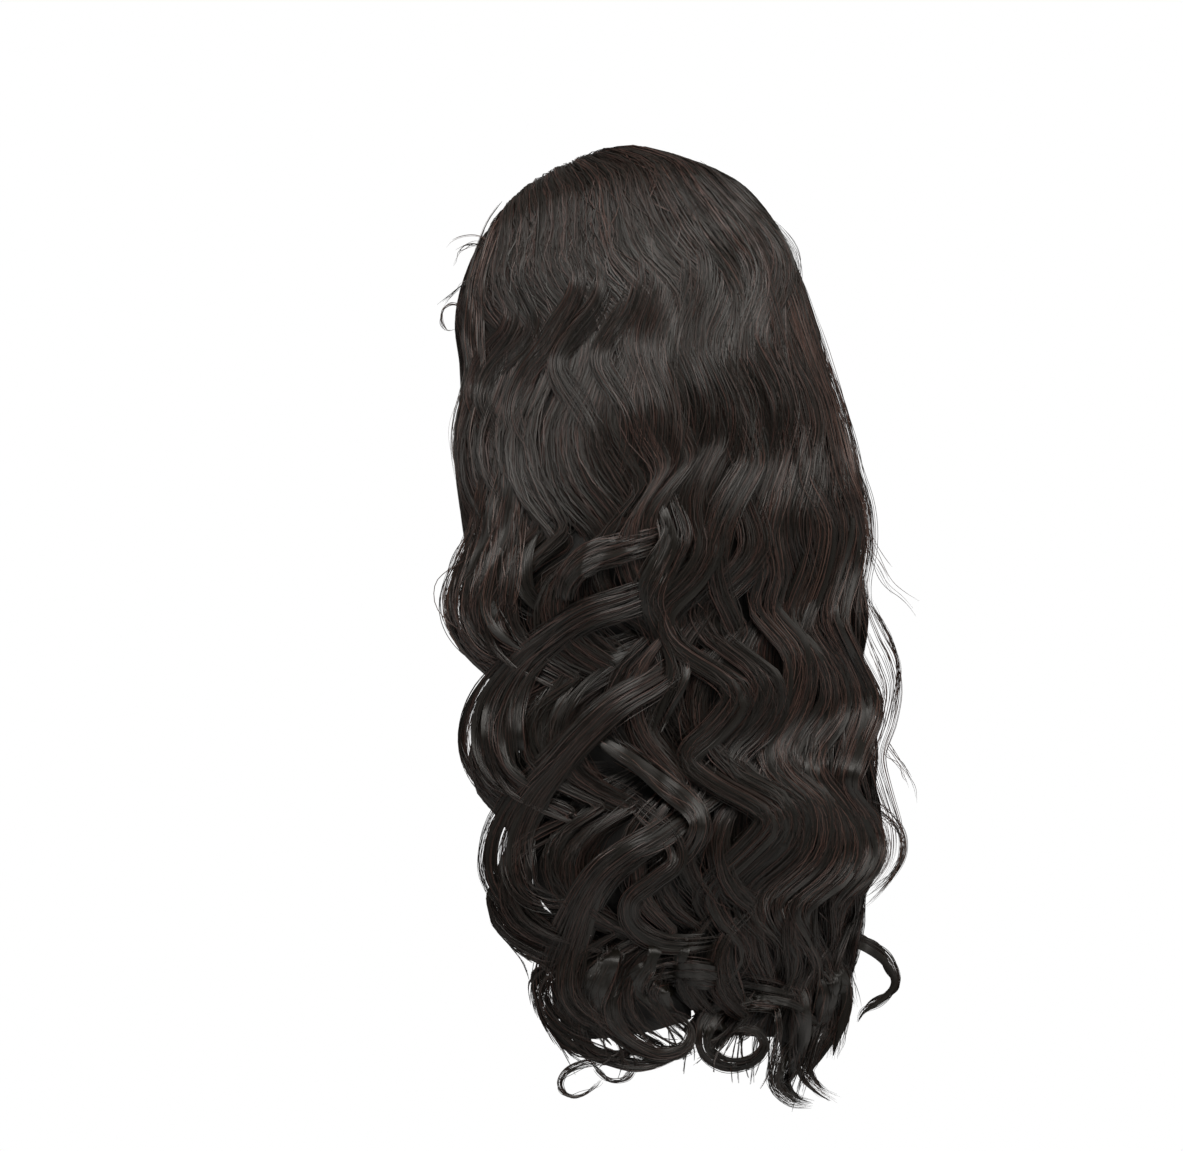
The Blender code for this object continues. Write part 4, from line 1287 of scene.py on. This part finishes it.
def dress_cap(nodes):
    """Cloths of the cap's own pieces."""
    lace = mesh_cloth("brown_lace", hole=(0.12, 0.07, 0.048), thread=(0.36, 0.235, 0.165),
                      size=1.6 * MM, roughness=0.75)
    net = mesh_cloth("stretch_net", hole=(0.006, 0.005, 0.005), thread=(0.035, 0.030, 0.027),
                     size=2.4 * MM, roughness=0.85)
    elastic = elastic_material()
    cloths = {"lace_front": lace, "cap_crown": net, "nape_band": elastic,
              "ear_tab_left": elastic, "ear_tab_right": elastic}
    for name, cloth in cloths.items():
        mesh = nodes[name].data
        mesh.materials.clear()
        mesh.materials.append(cloth)


def under_body(name, section, layers, material):
    """The inner body of a section: a closed wavy sheet inside the loose strands."""
    low, high = section["reach"]
    locks = len(section["ends"])
    columns = UNDER["columns"] * locks
    bottom, top = layers
    hem = 1.0 + min(section["ends"]) - UNDER["hem"]
    middle = np.array(0.5 * (low + high))
    first = UNDER["start"] * MM / float(head_arc(middle) * HEAD_TOP)
    from_parting = "start" not in section
    head = np.linspace(first, 1.0, UNDER["head_rows"], endpoint=False) if from_parting else np.zeros(0)
    fall = np.linspace(1.0 + section.get("start", 0.0), hem, UNDER["fall_rows"])
    stations = np.concatenate((head, fall))
    across = np.linspace(low + UNDER["inset"], high - UNDER["inset"], columns + 1)
    phase = (across - low) / (high - low) * locks
    lobes = 1.0 - UNDER["groove"] * np.abs(2.0 * (phase % 1.0) - 1.0) ** 2
    places = np.concatenate((across, across[::-1]))
    outs = np.concatenate((bottom + (top - bottom) * lobes, np.full(columns + 1, bottom)))
    fade = np.ones_like(stations)
    fade[-len(HEM_FADE):] = HEM_FADE
    if from_parting:
        fade[0] = PARTING_FADE
    grid = np.stack([
        hair_point(places, np.full_like(places, station), bottom + (outs - bottom) * amount)
        for station, amount in zip(stations, fade)])
    count = places.size
    rings = len(stations)
    faces = [tuple(range(count))]
    for base in range(0, (rings - 1) * count, count):
        for corner in range(count):
            following = base + (corner + 1) % count
            faces.append((base + corner, base + count + corner, count + following, following))
    faces.append(tuple(reversed(range((rings - 1) * count, rings * count))))
    mesh = bpy.data.meshes.new(name)
    mesh.from_pydata([tuple(point) for point in grid.reshape(-1, 3)], [], faces)
    layer = mesh.uv_layers.new(name="run")
    span = np.concatenate((np.linspace(0, 1, columns + 1), np.linspace(1, 0, columns + 1)))
    run = np.zeros((rings, count, 2))
    run[..., 0] = span[None, :] * (high - low)
    run[..., 1] = stations[:, None]
    indices = np.zeros(len(mesh.loops), dtype=np.int32)
    mesh.loops.foreach_get("vertex_index", indices)
    layer.data.foreach_set("uv", run.reshape(-1, 2)[indices].astype(np.float32).reshape(-1))
    shape = bmesh.new()
    shape.from_mesh(mesh)
    if shape.calc_volume(signed=True) < 0.0:
        bmesh.ops.reverse_faces(shape, faces=shape.faces)
    shape.to_mesh(mesh)
    shape.free()
    mesh.shade_smooth()
    mesh.materials.append(material)
    return add_piece(name, mesh)


def add_piece(name, mesh):
    """Adds a mesh to the scene as a piece that rides with the part."""
    obj = bpy.data.objects.new(name, mesh)
    bpy.context.scene.collection.objects.link(obj)
    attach(obj, "root")
    return obj


def add_hair(name, rows, shape, look):
    """Adds rows of hairs as one piece."""
    mesh = ribbon_mesh(name, *rows, *shape)
    mesh.materials.append(look)
    return add_piece(name, mesh)


def build_hair(strand_look, lock_look, under_look):
    """All sections of hair, each with loose strands over flat locks over an inner body."""
    for index, (name, section) in enumerate(SECTIONS.items()):
        random = np.random.default_rng(SECTION_SEED + index)
        table = clump_table(section, random)
        guides = guide_rows(table, random)
        strands = section_strands(section, table, guides, random)
        piece = add_hair("strands_" + name, strands, STRAND_SHAPE, strand_look)
        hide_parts("hair_" + name)
        locks = section_locks(section, table, guides, random)
        add_hair("locks_" + name, locks, LOCK_SHAPE, lock_look)
        under_body("under_" + name, section, SECTION_LAYERS, under_look)
    piece = under_body("under_nape", NAPE, NAPE_LAYERS, under_look)
    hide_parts("hair_nape")


def add_light(name, turn, rise, distance, size, power, colour):
    """A soft area light round the wig, by the direction it shines from, in degrees."""
    data = bpy.data.lights.new(name, "AREA")
    data.shape = "RECTANGLE"
    data.size, data.size_y = size
    data.energy = power
    data.color = colour
    light = bpy.data.objects.new(name, data)
    bpy.context.scene.collection.objects.link(light)
    azimuth = math.radians(CAMERA_AZIMUTH + turn)
    height = math.radians(rise)
    level = math.cos(height)
    away = Vector((math.sin(azimuth) * level, -math.cos(azimuth) * level, math.sin(height)))
    light.location = Vector(LIGHT_TARGET) + away * distance
    light.rotation_euler = (-away).to_track_quat("-Z", "Y").to_euler()


def build_stage():
    """White surroundings, a pale floor far below and lights."""
    world = bpy.data.worlds.new("studio")
    bpy.context.scene.world = world
    world.use_nodes = True
    nodes = world.node_tree.nodes
    links = world.node_tree.links
    nodes.clear()
    seen = nodes.new("ShaderNodeBackground")
    seen.inputs["Color"].default_value = (1.0, 1.0, 1.0, 1.0)
    seen.inputs["Strength"].default_value = 1.0
    lit = nodes.new("ShaderNodeBackground")
    lit.inputs["Color"].default_value = (1.0, 0.98, 0.95, 1.0)
    lit.inputs["Strength"].default_value = 0.15
    path = nodes.new("ShaderNodeLightPath")
    mix = nodes.new("ShaderNodeMixShader")
    output = nodes.new("ShaderNodeOutputWorld")
    links.new(path.outputs["Is Camera Ray"], mix.inputs["Fac"])
    links.new(lit.outputs["Background"], mix.inputs[1])
    links.new(seen.outputs["Background"], mix.inputs[2])
    links.new(mix.outputs["Shader"], output.inputs["Surface"])
    for name, light in LIGHTS.items():
        add_light(name, **light)
    bpy.ops.mesh.primitive_circle_add(vertices=64, radius=FLOOR_RADIUS, fill_type="NGON",
                                      location=(0.0, 0.0, FLOOR_HEIGHT))
    floor = bpy.context.object
    floor.name = "pale_floor"
    floor.data.materials.append(new_material("pale_floor", 0.9, (0.9, 0.9, 0.9))[0])


def camera_places():
    """Where the camera stands and the point that it looks at."""
    turn = math.radians(CAMERA_AZIMUTH)
    right = Vector((math.cos(turn), math.sin(turn), 0.0))
    back = Vector((math.sin(turn), -math.cos(turn), 0.0))
    middle = right * ((PICTURE[0] / 2.0 - ORIGIN_PIXEL[0]) / PIXELS_PER_METRE)
    middle += Vector((0.0, 0.0, -(PICTURE[1] / 2.0 - ORIGIN_PIXEL[1]) / PIXELS_PER_METRE))
    eye = middle + back * CAMERA_DISTANCE
    eye.z = CAMERA_HEIGHT
    return eye, middle


def build_camera():
    """The camera at the picture's angle and scale."""
    eye, middle = camera_places()
    data = bpy.data.cameras.new("camera")
    data.sensor_width = SENSOR
    data.lens = SENSOR * (eye - middle).length / (PICTURE[0] / PIXELS_PER_METRE)
    camera = bpy.data.objects.new("camera", data)
    bpy.context.scene.collection.objects.link(camera)
    camera.location = eye
    camera.rotation_euler = (middle - eye).to_track_quat("-Z", "Y").to_euler()
    bpy.context.scene.camera = camera


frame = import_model()
build_camera()
build_stage()
strand_look = hair_material()
lock_look = lock_material()
build_hair(strand_look, lock_look, under_material())
combed_pieces(strand_look, lock_look)
dress_cap(frame["nodes"])
bpy.context.scene.view_settings.view_transform = "Standard"
